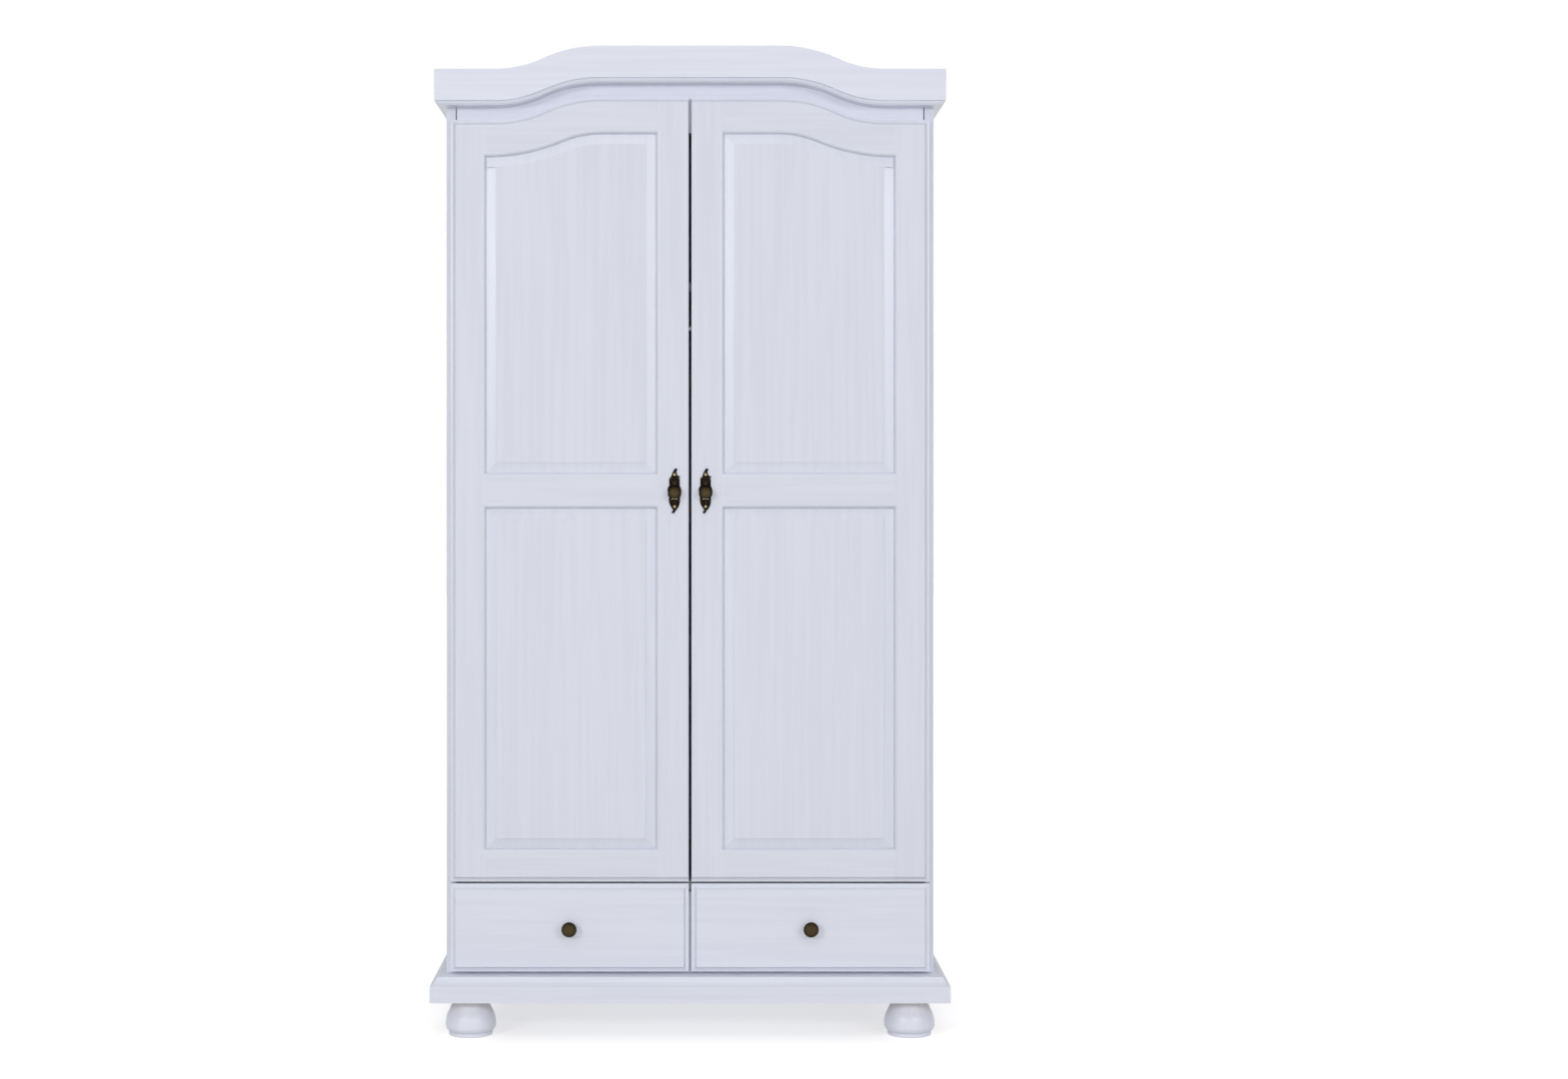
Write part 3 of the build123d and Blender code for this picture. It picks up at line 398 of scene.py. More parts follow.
@dataclass
class Studio:
    """Pale floor, white room, soft lamps and the camera."""

    eye_height: float = 1.0542
    eye_distance: float = 4.641
    lens: float = 55.56
    shift: tuple[float, float] = (0.0599, -0.03)
    floor_size: float = 40.0
    glow_reach: tuple[float, float] = (0.5, 3.5)
    glow_level: tuple[float, float] = (0.43, 0.90)
    light_from_above: float = 0.56
    light_from_below: float = 0.40
    light_fade: float = 0.4
    lamps: tuple[Lamp, ...] = (
        Lamp("lamp_left", (-3.5, -5.9, 2.3), 0.9, 81.0),
        Lamp("lamp_right", (3.5, -5.9, 2.3), 0.9, 68.0),
        Lamp("lamp_front", (0.0, -6.6, 1.2), 1.6, 71.0, mirrored=False),
        Lamp("lamp_top", (-0.3, -3.2, 3.9), 1.0, 13.0),
        Lamp("lamp_behind_left", (-4.2, 5.4, 2.9), 1.6, 70.0, mirrored=False),
        Lamp("lamp_behind_right", (4.2, 5.4, 2.9), 1.6, 70.0, mirrored=False),
    )

    def camera(self) -> None:
        """Place the camera square on to the plinth's front."""
        data = bpy.data.cameras.new("camera")
        data.lens = self.lens
        data.sensor_width = 36.0
        data.shift_x, data.shift_y = self.shift
        data.clip_end = 100.0
        eye = bpy.data.objects.new("camera", data)
        plinth_front = CAD_BOX[0][1]
        eye.location = (0.0, plinth_front - self.eye_distance, self.eye_height)
        eye.rotation_euler = (math.pi / 2, 0.0, 0.0)
        bpy.context.scene.collection.objects.link(eye)
        bpy.context.scene.camera = eye

    def floor(self) -> None:
        """Lay a pale floor that isn't part of the object and has a painted glow: it emits light, weakly
        near the object, where it lightens the shadow, and more strongly away from it.
        """
        half = self.floor_size / 2
        mesh = bpy.data.meshes.new("floor")
        corners = [(-half, -half, 0), (half, -half, 0), (half, half, 0), (-half, half, 0)]
        mesh.from_pydata(corners, [], [(0, 1, 2, 3)])
        ground = bpy.data.objects.new("floor", mesh)
        bpy.context.scene.collection.objects.link(ground)
        ground.visible_diffuse = False
        recipe = Recipe("floor")
        where = recipe.placed()
        away = recipe.node("ShaderNodeVectorMath", {"operation": "LENGTH"}, {0: where}, "Value")
        # Painted glow: the floor emits light, the more the farther it is from the object.
        glow = recipe.span(away, *self.glow_reach, *self.glow_level)
        recipe.surface(
            base_color=recipe.blend(recipe.noise(where, 3.0, 2.0), (0.90,) * 3, (0.92,) * 3),
            roughness=0.8,
            emission_color=recipe.node("ShaderNodeCombineXYZ", None, {"X": glow, "Y": glow, "Z": glow}),
            emission_strength=1.0,
        )
        mesh.materials.append(recipe.material)

    def room(self) -> None:
        """Make the room white to look at, but softer as a light, and stronger from above than below."""
        world = bpy.data.worlds.new("studio")
        bpy.context.scene.world = world
        world.use_nodes = True
        tree = world.node_tree
        shade = tree.nodes["Background"]
        shade.inputs["Color"].default_value = (1.0, 1.0, 1.0, 1.0)
        way = tree.nodes.new("ShaderNodeTexCoord")
        parts = tree.nodes.new("ShaderNodeSeparateXYZ")
        fade = tree.nodes.new("ShaderNodeMapRange")
        for title, value in (
            ("From Min", -self.light_fade), ("From Max", self.light_fade),
            ("To Min", self.light_from_below), ("To Max", self.light_from_above),
        ):
            fade.inputs[title].default_value = value
        path = tree.nodes.new("ShaderNodeLightPath")
        level = tree.nodes.new("ShaderNodeMapRange")
        level.inputs["To Max"].default_value = 1.0
        tree.links.new(way.outputs["Generated"], parts.inputs["Vector"])
        tree.links.new(parts.outputs["Z"], fade.inputs["Value"])
        tree.links.new(path.outputs["Is Camera Ray"], level.inputs["Value"])
        tree.links.new(fade.outputs["Result"], level.inputs["To Min"])
        tree.links.new(level.outputs["Result"], shade.inputs["Strength"])

    def build(self) -> None:
        """Set up the whole studio."""
        bpy.context.scene.view_settings.view_transform = "Standard"
        self.camera()
        self.floor()
        self.room()
        for lamp in self.lamps:
            lamp.hang()


# ---------------------------------------------------------------- mesh tools
def finished(name: str, mesh: bpy.types.Mesh, body: str, material: bpy.types.Material,
             stands_for: Sequence[str] = ()) -> bpy.types.Object:
    """Turn a mesh into a piece of the wardrobe.

    Args:
        name: The piece's name.
        mesh: Its mesh, already in place.
        body: The body it rides on.
        material: Its finish.
        stands_for: The solid pieces that it replaces.

    Returns:
        The new object.
    """
    piece = bpy.data.objects.new(name, mesh)
    bpy.context.scene.collection.objects.link(piece)
    mesh.name = name
    mesh.materials.clear()
    mesh.materials.append(material)
    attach(piece, body)
    if stands_for:
        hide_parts(*stands_for)
    LOG.info("%s rides on %s, %d faces", name, body, len(mesh.polygons))
    return piece


def smooth_path(points: Sequence[Point], steps: int) -> list[Vector]:
    """Return points along a smooth line through the given ones (Catmull-Rom)."""
    knots = [Vector(point) for point in points]
    knots = [2 * knots[0] - knots[1], *knots, 2 * knots[-1] - knots[-2]]
    line = []
    for before, start, end, after in zip(knots, knots[1:], knots[2:], knots[3:]):
        for step in range(steps):
            t = step / steps
            line.append(
                0.5 * (2 * start + (end - before) * t + (2 * before - 5 * start + 4 * end - after) * t**2
                       + (3 * start - before - 3 * end + after) * t**3)
            )
    return [*line, knots[-2]]


def add_rope(shape: bmesh.types.BMesh, points: Sequence[Point], start: float, end: float,
             sides: int = 10, steps: int = 6) -> None:
    """Add a tapering round rope with round ends to a shape.

    Args:
        shape: The bmesh to add to.
        points: Points that the rope's middle passes through.
        start: Its radius at the first point.
        end: Its radius at the last point.
        sides: Corners of its section.
        steps: Sections between two points.
    """
    line = smooth_path(points, steps)
    last = len(line) - 1
    rings = []
    for index, centre in enumerate(line):
        along = (line[min(index + 1, last)] - line[max(index - 1, 0)]).normalized()
        across = along.cross(Vector((0.0, 1.0, 0.0))).normalized()
        out = across.cross(along)
        radius = start + (end - start) * index / last
        ring = [
            shape.verts.new(centre + radius * (math.cos(turn) * across + math.sin(turn) * out))
            for turn in (math.tau * side / sides for side in range(sides))
        ]
        rings.append((centre, along, radius, ring))
    for (_, _, _, ring), (_, _, _, following) in zip(rings, rings[1:]):
        for side in range(sides):
            other = (side + 1) % sides
            shape.faces.new((ring[side], ring[other], following[other], following[side]))
    for (centre, along, radius, ring), way in ((rings[0], -1.0), (rings[-1], 1.0)):
        tip = shape.verts.new(centre + way * radius * 0.7 * along)
        for side in range(sides):
            shape.faces.new((ring[side], ring[(side + 1) % sides], tip))


def fused(shape: bmesh.types.BMesh, name: str, voxel: float, passes: int) -> bpy.types.Mesh:
    """Melt the overlapping shells of a shape into one closed skin, as a casting is.

    Args:
        shape: The shells. It is freed.
        name: The mesh's name.
        voxel: The size of the remesh.
        passes: How often the skin is smoothed.

    Returns:
        The new mesh.
    """
    bmesh.ops.recalc_face_normals(shape, faces=shape.faces)
    rough = bpy.data.meshes.new(f"{name}_rough")
    shape.to_mesh(rough)
    shape.free()
    holder = bpy.data.objects.new(f"{name}_rough", rough)
    bpy.context.scene.collection.objects.link(holder)
    melt = holder.modifiers.new("melt", "REMESH")
    melt.mode = "VOXEL"
    melt.voxel_size = voxel
    mesh = bpy.data.meshes.new_from_object(holder.evaluated_get(bpy.context.evaluated_depsgraph_get()))
    bpy.data.objects.remove(holder)
    bpy.data.meshes.remove(rough)
    skin = bmesh.new()
    skin.from_mesh(mesh)
    for _ in range(passes):
        bmesh.ops.smooth_vert(skin, verts=skin.verts, factor=0.5, use_axis_x=True, use_axis_y=True,
                              use_axis_z=True)
    skin.to_mesh(mesh)
    skin.free()
    mesh.shade_smooth()
    return mesh


def lathed(profile: Sequence[tuple[float, float]], radius: float, height: float, centre: Point,
           sides: int = 72) -> bpy.types.Mesh:
    """Turn a profile round an axis that points out of the front.

    Args:
        profile: Pairs from the foot to the tip: a share of the radius and a share of the height.
        radius: The greatest radius.
        height: How far the tip stands out.
        centre: The axis' foot.
        sides: Corners round the axis.

    Returns:
        A closed mesh.
    """
    x, y, z = centre
    line = smooth_path([(radius * out, 0.0, height * up) for out, up in profile], CURVE_STEPS)
    shape = bmesh.new()
    rings = []
    for reach, _, lift in line[:-1]:
        rings.append([
            shape.verts.new((x + reach * math.cos(turn), y - lift, z + reach * math.sin(turn)))
            for turn in (math.tau * side / sides for side in range(sides))
        ])
    tip = shape.verts.new((x, y - line[-1].z, z))
    for ring, following in zip(rings, rings[1:]):
        for side in range(sides):
            other = (side + 1) % sides
            shape.faces.new((ring[side], following[side], following[other], ring[other]))
    for side in range(sides):
        shape.faces.new((rings[-1][side], tip, rings[-1][(side + 1) % sides]))
    shape.faces.new(rings[0])
    bmesh.ops.recalc_face_normals(shape, faces=shape.faces)
    mesh = bpy.data.meshes.new("turned")
    shape.to_mesh(mesh)
    shape.free()
    mesh.shade_smooth()
    return mesh


def wear(mesh: bpy.types.Mesh, amount: Callable[[Vector], float]) -> None:
    """Write the rub attribute, how worn each point is, from 0 to 1."""
    rub = mesh.attributes.new("rub", "FLOAT", "POINT")
    for vertex, value in zip(mesh.vertices, rub.data):
        value.value = amount(vertex.co)


def ramp(value: float, start: float, end: float) -> float:
    """Return 0 up to start, 1 from end on and a straight line between. End may be the lower one."""
    return min(max((value - start) / (end - start), 0.0), 1.0)


# ---------------------------------------------------------------- handles
@dataclass
class HandlePlate:
    """Cast scroll and leaf plate behind a door knob, held by two domed nails."""

    side: str
    skin: float = 0.42 * MM
    thickness: float = 1.9 * MM
    smoothing: int = 2
    nail_radius: float = 3.6 * MM
    nail_height: float = 2.6 * MM
    nail_profile: tuple[tuple[float, float], ...] = ((1, 0), (1, 0.25), (0.86, 0.6), (0.5, 0.9), (0, 1))
    nails: tuple[float, float] = (32.0 * MM, -29.5 * MM)
    ring_radius: float = 11.3 * MM
    ring_rope: float = 0.95 * MM
    bar_height: float = -14.9 * MM
    middle: Vector = field(init=False)
    knob_lift: float = field(init=False)
    # Rows of the outline: height, left edge, right edge, in mm from the middle.
    outline: tuple[tuple[float, float, float], ...] = (
        (38.5, -1.2, 2.6), (35, -4.4, 4.2), (31, -5.6, 5.6), (28.5, -6.4, 8.2), (26, -9.2, 8.6),
        (22, -10.4, 9.8), (15, -10.2, 10.0), (10.5, -10.4, 10.3), (6, -12.4, 11.6), (0, -13.0, 12.4),
        (-5.5, -12.8, 13.0), (-9, -11.8, 12.3), (-12.5, -10.8, 10.4), (-17, -11.2, 10.6),
        (-23, -10.2, 10.0), (-29, -7.8, 8.2), (-33.5, -4.6, 5.6), (-37.5, -2.2, 2.4),
    )
    # Each scroll: radius at its start, radius at its end, and points (across, up, proud), in mm.
    scrolls: tuple[tuple[float, float, tuple[Point, ...]], ...] = (
        (3.0, 2.3, ((0, 36, 1.6), (0.6, 38.8, 2.2), (2.2, 41.2, 2.2), (3.8, 42.2, 1.8))),
        (2.7, 2.1, ((0, -35, 1.6), (-0.6, -37.8, 2.1), (-2.4, -40.4, 2.0), (-4.0, -41.8, 1.7))),
        (1.8, 1.3, ((4.6, 25.5, 2.2), (7.6, 26.2, 2.6), (9.8, 28.8, 2.0))),
        (1.9, 1.0, ((-3.0, 26.6, 2.3), (-7.4, 25.0, 2.6), (-9.2, 21.0, 2.2), (-8.8, 15.5, 1.8))),
        (1.5, 0.9, ((7.6, 24.0, 2.0), (9.0, 19.5, 2.2), (8.6, 14.0, 1.8))),
        (1.6, 0.9, ((0, 12.6, 2.4), (-2.6, 17.0, 3.0), (-5.6, 23.2, 2.3))),
        (1.6, 0.9, ((0, 12.6, 2.4), (2.8, 17.0, 3.0), (5.4, 23.0, 2.3))),
        (1.3, 0.8, ((0, 26.5, 2.2), (0.3, 21.0, 2.9), (0, 15.5, 2.4))),
        (0.9, 0.9, ((-7.4, 9.4, 2.0), (0, 12.2, 2.6), (7.2, 15.0, 2.0))),
        (0.9, 0.9, ((7.4, 9.4, 2.0), (0, 12.2, 2.6), (-7.2, 15.0, 2.0))),
        (1.7, 1.1, ((-9.4, 9.0, 1.8), (-12.0, 4.6, 2.2), (-12.0, -1.0, 2.0), (-10.4, -6.5, 1.8))),
        (1.7, 1.1, ((9.4, 8.0, 1.8), (11.4, 3.2, 2.2), (12.2, -3.0, 2.2), (10.6, -8.4, 1.8))),
        (1.5, 1.0, ((-11.4, -5.0, 1.8), (-11.8, -8.2, 2.2), (-9.2, -11.0, 1.9))),
        (0.9, 0.9, ((-6.2, -14.9, 3.0), (0, -14.9, 3.3), (6.2, -14.9, 3.0))),
        (1.6, 0.9, ((-4.4, -16.4, 2.2), (-9.0, -18.2, 2.4), (-9.0, -22.8, 2.2), (-6.0, -27.6, 1.8))),
        (1.6, 0.9, ((4.4, -16.4, 2.2), (8.4, -18.2, 2.4), (8.4, -22.8, 2.2), (6.2, -28.4, 1.8))),
        (1.3, 0.7, ((-4.2, -25.4, 2.0), (-1.6, -21.4, 2.8), (0, -17.4, 2.6))),
        (1.3, 0.7, ((4.2, -25.4, 2.0), (1.6, -21.4, 2.8), (0, -17.4, 2.6))),
        (1.1, 0.6, ((6.6, -24.0, 2.0), (5.8, -29.6, 2.6), (2.6, -34.2, 2.0))),
    )

    def __post_init__(self) -> None:
        """Find the plate's centre on the door's face, and the knob's height above it."""
        low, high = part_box(f"{self.side}_door_handle_plate")
        self.middle = Vector(((low[0] + high[0]) / 2, high[1], (low[2] + high[2]) / 2))
        low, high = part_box(f"{self.side}_door_knob")
        self.knob_lift = (low[2] + high[2]) / 2 - self.middle.z

    def place(self, point: Point) -> Vector:
        """Return a plate point (across, up, proud, in mm) in the wardrobe's frame."""
        across, up, proud = point
        return self.middle + Vector((across, -proud, up)) * MM

    def backing(self, shape: bmesh.types.BMesh) -> None:
        """Add the flat back of the casting, with its curved outline."""
        left = [(low, up, 0.0) for up, low, _ in self.outline]
        right = [(high, up, 0.0) for up, _, high in reversed(self.outline)]
        line = smooth_path([*left, *right, left[0]], CURVE_STEPS)[:-1]
        out = Vector((0.0, -self.thickness, 0.0))
        inner = [shape.verts.new(self.place(point)) for point in line]
        outer = [shape.verts.new(self.place(point) + out) for point in line]
        for index in range(len(line)):
            other = (index + 1) % len(line)
            shape.faces.new((inner[index], inner[other], outer[other], outer[index]))
        shape.faces.new(inner)
        shape.faces.new(outer)

    def ring(self, shape: bmesh.types.BMesh) -> None:
        """Add the raised ring round the knob."""
        lift, reach, proud = self.knob_lift / MM, self.ring_radius / MM, 2.3
        corners = 16
        points = [
            (reach * math.cos(turn), lift + reach * math.sin(turn), proud)
            for turn in (math.tau * step / corners for step in range(corners + 1))
        ]
        add_rope(shape, [self.place(point) for point in points], self.ring_rope, self.ring_rope, steps=3)

    def rub(self, point: Vector) -> float:
        """Return how worn a point of the casting is.

        Args:
            point: A point of the mesh.

        Returns:
            From 0 to 1: the bar is worn most, the ridges a little and the two tips not at all.
        """
        across, inward, up = (point - self.middle) / MM
        away_from_tips = ramp(abs(up), 38.0, 34.0)
        ridge = 0.88 * ramp(-inward, 2.6, 4.5) ** 1.5 * away_from_tips
        on_bar = abs(up - self.bar_height / MM) < 0.9 and abs(across) < 6.4
        return max(ridge, 0.9 * ramp(-inward, 2.8, 3.8)) if on_bar else ridge

    def casting(self, brass: bpy.types.Material) -> None:
        """Cast the plate as one skin and wear its high spots."""
        shape = bmesh.new()
        self.backing(shape)
        self.ring(shape)
        for start, end, points in self.scrolls:
            add_rope(shape, [self.place(point) for point in points], start * MM, end * MM)
        mesh = fused(shape, f"{self.side}_handle_casting", self.skin, self.smoothing)
        wear(mesh, self.rub)
        finished(f"{self.side}_handle_casting", mesh, f"{self.side}_door", brass,
                 [f"{self.side}_door_handle_plate"])

    def studs(self, brass: bpy.types.Material) -> None:
        """Set the two domed brass nails."""
        shape = bmesh.new()
        for lift in self.nails:
            foot = self.middle + Vector((0.0, -self.thickness * 0.7, lift))
            rise = self.nail_height + self.thickness * 0.6
            dome = lathed(self.nail_profile, self.nail_radius, rise, foot, 32)
            shape.from_mesh(dome)
            bpy.data.meshes.remove(dome)
        mesh = bpy.data.meshes.new("studs")
        shape.to_mesh(mesh)
        shape.free()
        mesh.shade_smooth()
        top = self.middle.y - self.thickness
        wear(mesh, lambda point: 0.2 + 0.65 * ramp(top - point.y, 0.8 * MM, 2.6 * MM))
        finished(f"{self.side}_handle_nails", mesh, f"{self.side}_door", brass)

    def build(self, brass: bpy.types.Material, nail_brass: bpy.types.Material) -> None:
        """Make the plate and its nails."""
        self.casting(brass)
        self.studs(nail_brass)


@dataclass
class TurnedKnob:
    """Round turned knob: a collar, a waist, a rounded rim and a flatter front with a cut ring."""

    node: str
    body: str
    # The turned line, from the collar to the middle of the front: shares of the radius and the height.
    profile: tuple[tuple[float, float], ...] = (
        (0.62, 0.0), (0.66, 0.06), (0.58, 0.13), (0.44, 0.34), (0.56, 0.47), (0.88, 0.58), (1.0, 0.70),
        (0.97, 0.80), (0.84, 0.90), (0.75, 0.925), (0.71, 0.915), (0.66, 0.935), (0.40, 0.98), (0.0, 1.0),
    )
    rim: float = 0.86

    def build(self, brass: bpy.types.Material) -> None:
        """Turn the knob in the place of its plain solid."""
        low, high = (Vector(corner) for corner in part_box(self.node))
        radius = (high.x - low.x) / 2
        height = high.y - low.y
        centre = Vector(((low.x + high.x) / 2, high.y, (low.z + high.z) / 2))
        mesh = lathed(self.profile, radius, height, centre)
        rim = high.y - self.rim * height
        wear(mesh, lambda point: 0.16 + 0.3 * ramp(rim - point.y, 0.0, 0.12 * height))
        finished(f"{self.node}_turned", mesh, self.body, brass, [self.node])


# ---------------------------------------------------------------- rows of small parts
class RowTree:
    """A Geometry Nodes tree with named inputs."""

    def __init__(self, name: str, inputs: Mapping[str, float]) -> None:
        """Start a tree with a geometry input and output and one number for each named input."""
        self.tree = bpy.data.node_groups.new(name, "GeometryNodeTree")
        self.tree.interface.new_socket("Geometry", in_out="INPUT", socket_type="NodeSocketGeometry")
        self.tree.interface.new_socket("Geometry", in_out="OUTPUT", socket_type="NodeSocketGeometry")
        for title, value in inputs.items():
            socket = self.tree.interface.new_socket(title, in_out="INPUT", socket_type="NodeSocketFloat")
            socket.default_value = value
        self.start = self.tree.nodes.new("NodeGroupInput")
        self.end = self.tree.nodes.new("NodeGroupOutput")

    def take(self, title: str) -> bpy.types.NodeSocket:
        """Return one of the tree's inputs."""
        return self.start.outputs[title]

    def node(self, kind: str, settings: Mapping[str, object] | None = None,
             inputs: Mapping[object, object] | None = None, output: object = 0) -> bpy.types.NodeSocket:
        """Add a node.

        Args:
            kind: The node's type.
            settings: Its properties, set first.
            inputs: A value, a socket, or a list of sockets for each named or numbered input.
            output: The name or number of the socket to return.

        Returns:
            The chosen output socket.
        """
        made = self.tree.nodes.new(kind)
        for name, value in (settings or {}).items():
            setattr(made, name, value)
        for name, value in (inputs or {}).items():
            for each in value if isinstance(value, list) else [value]:
                if isinstance(each, bpy.types.NodeSocket):
                    self.tree.links.new(each, made.inputs[name])
                else:
                    made.inputs[name].default_value = each
        return made.outputs[output]

    def finish(self, geometry: bpy.types.NodeSocket, material: bpy.types.Material) -> None:
        """Make the instances real, give them their material and send them out."""
        real = self.node("GeometryNodeRealizeInstances", None, {"Geometry": geometry})
        shaded = self.node("GeometryNodeSetMaterial", None, {"Geometry": real, "Material": material})
        self.tree.links.new(shaded, self.end.inputs[0])

    def grow(self, base: bpy.types.Mesh, **values: float) -> bpy.types.Mesh:
        """Run the tree on a mesh.

        Args:
            base: The points or edges that it starts from.
            values: Other values for its named inputs, with _ for a space.

        Returns:
            A plain mesh.
        """
        holder = bpy.data.objects.new(f"{self.tree.name}_base", base)
        bpy.context.scene.collection.objects.link(holder)
        modifier = holder.modifiers.new(self.tree.name, "NODES")
        modifier.node_group = self.tree
        for item in self.tree.interface.items_tree:
            title = item.name.lower().replace(" ", "_")
            if title in values:
                modifier[item.identifier] = values[title]
        graph = bpy.context.evaluated_depsgraph_get()
        mesh = bpy.data.meshes.new_from_object(holder.evaluated_get(graph))
        bpy.data.objects.remove(holder)
        bpy.data.meshes.remove(base)
        return mesh


@dataclass
class ScrewSet:
    """Round-headed cross-recess screws, set on points that say which way they face."""

    material: bpy.types.Material
    tree: RowTree = field(init=False)

    def __post_init__(self) -> None:
        """Build the tree: a flat ball, half sunk and less a cross, on each point."""
        self.tree = RowTree("screws", {"Head Radius": 3 * MM, "Head Height": 1.5 * MM,
                                       "Recess": 0.9 * MM})
        tree = self.tree
        radius = tree.take("Head Radius")
        tall, narrow = (
            tree.node("ShaderNodeMath", {"operation": "DIVIDE"}, {0: tree.take(name), 1: radius})
            for name in ("Head Height", "Recess")
        )
        ball = tree.node("GeometryNodeMeshUVSphere", None, {"Segments": 24, "Rings": 12, "Radius": 1.0},
                         "Mesh")
        stretch = tree.node("ShaderNodeCombineXYZ", None, {"X": 1.0, "Y": 1.0, "Z": tall})
        dome = tree.node("GeometryNodeTransform", None, {"Geometry": ball, "Scale": stretch})
        lift = tree.node("ShaderNodeCombineXYZ", None, {"Z": tall})
        cutters = []
        for axis, other in (("X", "Y"), ("Y", "X")):
            slot = tree.node("ShaderNodeCombineXYZ", None, {axis: 1.0, other: narrow, "Z": tall})
            bar = tree.node("GeometryNodeMeshCube", None, {"Size": slot}, "Mesh")
            cutters.append(tree.node("GeometryNodeTransform", None, {"Geometry": bar, "Translation": lift}))
        head = tree.node("GeometryNodeMeshBoolean", {"operation": "DIFFERENCE", "solver": "EXACT"},
                         {"Mesh 1": dome, "Mesh 2": cutters}, "Mesh")
        facing = tree.node("GeometryNodeInputNamedAttribute", {"data_type": "FLOAT_VECTOR"},
                           {"Name": "facing"}, "Attribute")
        turned = tree.node("FunctionNodeAlignRotationToVector", {"axis": "Z"}, {"Vector": facing})
        placed = tree.node("GeometryNodeInstanceOnPoints", None,
                           {"Points": tree.take("Geometry"), "Instance": head, "Rotation": turned,
                            "Scale": radius})
        tree.finish(placed, self.material)

    def drive(self, name: str, body: str, slot: str, screws: Sequence[tuple[Point, Point]],
              **sizes: float) -> None:
        """Make one piece of screws for a body.

        Args:
            name: The piece's name.
            body: The body that they ride on.
            slot: The name of a material slot; not used.
            screws: The place and the facing direction of each.
            sizes: Other sizes for the heads.
        """
        base = bpy.data.meshes.new(f"{name}_points")
        base.from_pydata([place for place, _ in screws], [], [])
        facing = base.attributes.new("facing", "FLOAT_VECTOR", "POINT")
        for value, (_, way) in zip(facing.data, screws):
            value.vector = way
        finished(name, self.tree.grow(base, **sizes), body, self.material)


@dataclass
class PinRow:
    """Small flat nail heads at an even spacing along the edges of the back."""

    material: bpy.types.Material
    inset: float = 7 * MM
    spacing: float = 0.11
    tree: RowTree = field(init=False)

    def __post_init__(self) -> None:
        """Build the tree: the edges become a curve, and a head stands on each of its points."""
        self.tree = RowTree("panel_pins", {"Spacing": 0.1, "Head Radius": 2.2 * MM,
                                           "Head Height": 0.7 * MM})
        tree = self.tree
        radius = tree.take("Head Radius")
        curve = tree.node("GeometryNodeMeshToCurve", None, {"Mesh": tree.take("Geometry")})
        even = tree.node("GeometryNodeResampleCurve", {"mode": "LENGTH"},
                         {"Curve": curve, "Length": tree.take("Spacing")})
        ball = tree.node("GeometryNodeMeshUVSphere", None, {"Segments": 10, "Rings": 5, "Radius": 1.0},
                         "Mesh")
        flat = tree.node("ShaderNodeCombineXYZ", None,
                         {"X": radius, "Y": tree.take("Head Height"), "Z": radius})
        placed = tree.node("GeometryNodeInstanceOnPoints", None,
                           {"Points": even, "Instance": ball, "Scale": flat})
        tree.finish(placed, self.material)

    def drive(self, panel: str) -> None:
        """Pin the edges of one back panel, given by its node's name."""
        low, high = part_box(panel)
        left, right = low[0] + self.inset, high[0] - self.inset
        bottom, top = low[2] + self.inset, high[2] - self.inset
        corners = [(left, bottom), (right, bottom), (right, top), (left, top)]
        base = bpy.data.meshes.new(f"{panel}_edges")
        base.from_pydata([(x, high[1], z) for x, z in corners], [(0, 1), (1, 2), (2, 3), (3, 0)], [])
        pins = self.tree.grow(base, spacing=self.spacing)
        finished(f"{panel}_pins", pins, "carcass", self.material)


# ---------------------------------------------------------------- sub-assemblies
def dress(nodes: Iterable[str], material: bpy.types.Material) -> None:
    """Give one material to every slot of the named solid pieces."""
    for name in nodes:
        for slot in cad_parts[name].material_slots:
            slot.material = material
        LOG.info("%s is %s", name, material.name)


@dataclass
class Carcass:
    """The case: sides, shelves, plinth, feet, cornice, back and fittings."""

    paint: Mapping[Grain, bpy.types.Material]
    # Paint lighter than the rest of the case: painted light, standing in for the light that the frieze and
    # the feet lose in their shade.
    bright_paint: Mapping[Grain, bpy.types.Material]
    steel: bpy.types.Material
    upright: tuple[str, ...] = ("left_side_panel", "right_side_panel", "drawer_divider", "back_batten")
    across: tuple[str, ...] = ("bottom_panel", "drawer_shelf", "hat_shelf", "top_panel", "cornice_front",
                               "cornice_front_moulding", "plinth_front_cap", "plinth_front_rail",
                               "plinth_back_rail")
    inward: tuple[str, ...] = ("cornice_side_mouldings", "left_cornice_return", "right_cornice_return",
                               "plinth_side_caps", "plinth_side_rails", "hat_shelf_battens")

    def dress(self) -> None:
        """Give each board and fitting its finish."""
        dress(self.upright, self.paint[Grain.UPRIGHT])
        dress(self.across, self.paint[Grain.ACROSS])
        dress(self.inward, self.paint[Grain.INWARD])
        # The feet and the frieze get the lighter paint: painted light that lifts the shade under the
        # cornice and on the feet.
        dress(["bun_feet"], self.bright_paint[Grain.UPRIGHT])
        dress(["frieze_board"], self.bright_paint[Grain.ACROSS])
        dress(["drawer_runners", "plinth_corner_blocks"], BarePine(Grain.INWARD, 3.0).make())
        outer_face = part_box("left_back_panel")[1][1]
        dress(["left_back_panel", "right_back_panel"], Hardboard(outer_face).make())
        dress(["hinge_arms", "wall_brackets"], self.steel)
        dress(["rail_sockets"], PlatedSteel("nickel_socket", (0.55, 0.55, 0.56)).make())
        chrome = PlatedSteel("rail_chrome", (0.78, 0.79, 0.80), (0.05, 1.0, 1.0), 0.16)
        dress(["clothes_rail"], chrome.make())
        dress(["bumper_pads"], SoftRubber().make())

    def pins(self) -> None:
        """Pin the back panels."""
        row = PinRow(self.steel)
        for panel in ("left_back_panel", "right_back_panel"):
            row.drive(panel)


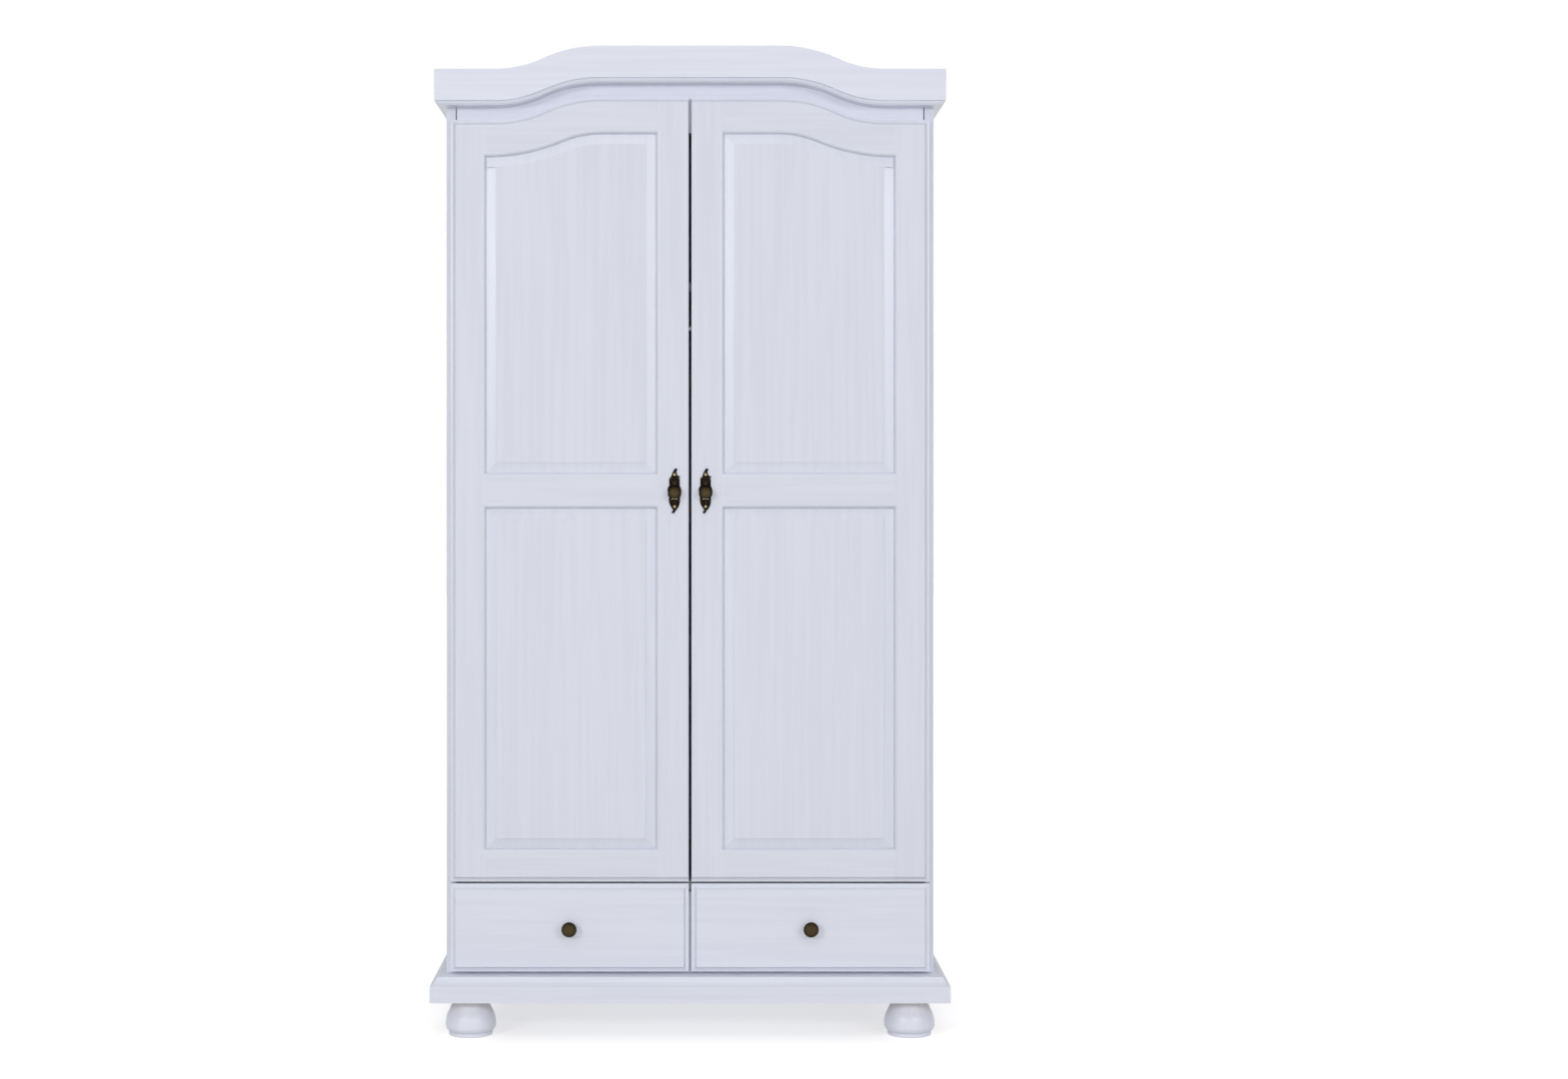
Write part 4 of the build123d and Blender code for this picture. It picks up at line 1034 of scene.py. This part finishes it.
@dataclass
class Hinges:
    """The screws of the cup hinges, three hinges to a door."""

    screws: ScrewSet
    flange_reach: float = 26 * MM
    cup_screw: float = 21 * MM
    plate_screw: float = 16 * MM
    plate_depth: float = 23 * MM
    plate_thickness: float = 2.5 * MM
    cup_head: float = 3.3 * MM
    plate_head: float = 3.6 * MM

    def heights(self, cups: str) -> list[float]:
        """Return the heights of a door's hinges, from the box of its cups."""
        low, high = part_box(cups)
        bottom, top = low[2] + self.flange_reach, high[2] - self.flange_reach
        return [bottom, (bottom + top) / 2, top]

    def build(self) -> None:
        """Drive the screws of both doors' cups and of the mounting plates."""
        plates = []
        for side, inward in (("left", 1.0), ("right", -1.0)):
            cups = f"{side}_door_hinge_cups"
            low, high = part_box(cups)
            across = (low[0] + high[0]) / 2
            heights = self.heights(cups)
            flange = [
                ((across, high[1], height + way * self.cup_screw), (0.0, 1.0, 0.0))
                for height in heights for way in (-1, 1)
            ]
            self.screws.drive(f"{side}_hinge_cup_screws", f"{side}_door", "hinge_steel", flange,
                              head_radius=self.cup_head)
            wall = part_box(f"{side}_side_panel")[1 if side == "left" else 0][0]
            face = wall + inward * self.plate_thickness
            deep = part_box("hinge_arms")[1][1] - self.plate_depth / 2
            plates += [
                ((face, deep, height + way * self.plate_screw), (inward, 0.0, 0.0))
                for height in heights for way in (-1, 1)
            ]
        self.screws.drive("hinge_plate_screws", "carcass", "hinge_steel", plates,
                          head_radius=self.plate_head)


@dataclass
class Door:
    """One panelled door, with its plate and knob."""

    side: str
    paint: Mapping[Grain, bpy.types.Material]
    plate_brass: bpy.types.Material
    nail_brass: bpy.types.Material
    knob_brass: bpy.types.Material
    steel: bpy.types.Material

    def build(self) -> None:
        """Dress the boards and add the handle."""
        door = f"{self.side}_door"
        tall = ("inner_stile", "outer_stile", "upper_panel", "lower_panel")
        wide = ("top_rail", "mid_rail", "bottom_rail")
        dress([f"{door}_{part}" for part in tall], self.paint[Grain.UPRIGHT])
        dress([f"{door}_{part}" for part in wide], self.paint[Grain.ACROSS])
        dress([f"{door}_hinge_cups"], self.steel)
        HandlePlate(self.side).build(self.plate_brass, self.nail_brass)
        TurnedKnob(f"{door}_knob", door).build(self.knob_brass)


@dataclass
class Drawer:
    """One drawer: a painted front on a bare pine box, with its knob."""

    side: str
    paint: Mapping[Grain, bpy.types.Material]
    brass: bpy.types.Material
    pine: Mapping[Grain, bpy.types.Material]

    def build(self) -> None:
        """Dress the boards and add the knob."""
        drawer = f"{self.side}_drawer"
        dress([f"{drawer}_front"], self.paint[Grain.ACROSS])
        dress([f"{drawer}_sides", f"{drawer}_bottom"], self.pine[Grain.INWARD])
        dress([f"{drawer}_back"], self.pine[Grain.ACROSS])
        TurnedKnob(f"{drawer}_knob", drawer).build(self.brass)


def main() -> None:
    """Build and dress the wardrobe."""
    logging.basicConfig(level=logging.INFO, format="%(name)s: %(message)s")
    Studio().build()
    face_grains = (Grain.UPRIGHT, Grain.ACROSS)
    case_paint = {
        grain: PaintedPine("case_paint", grain, seed=0.0, lightness=1.06).make() for grain in Grain
    }
    # A lighter copy of the case paint for the frieze and the feet: painted light, standing in for light
    # that they don't get.
    bright_paint = {
        grain: PaintedPine("bright_paint", grain, seed=6.0, lightness=1.13).make() for grain in face_grains
    }
    front_paint = {
        Grain.ACROSS: PaintedPine("drawer_paint", Grain.ACROSS, seed=2.0, lightness=1.045).make()
    }
    pine = {grain: BarePine(grain, seed=1.0).make() for grain in (Grain.INWARD, Grain.ACROSS)}
    plate_brass = AgedBrass().make()
    nail_brass = AgedBrass("nail_brass", (0.030, 0.026, 0.012), (0.16, 0.135, 0.055)).make()
    knob_brass = AgedBrass("turned_brass", (0.012, 0.008, 0.004), (0.062, 0.044, 0.020)).make()
    steel = PlatedSteel("plated_steel").make()
    carcass = Carcass(case_paint, bright_paint, steel)
    carcass.dress()
    carcass.pins()
    for seed, side in ((4.0, "left"), (9.0, "right")):
        door_paint = {
            grain: PaintedPine(f"{side}_door_paint", grain, seed).make() for grain in face_grains
        }
        Door(side, door_paint, plate_brass, nail_brass, knob_brass, steel).build()
        Drawer(side, front_paint, knob_brass, pine).build()
    Hinges(ScrewSet(steel)).build()


if __name__ == "__main__":
    main()
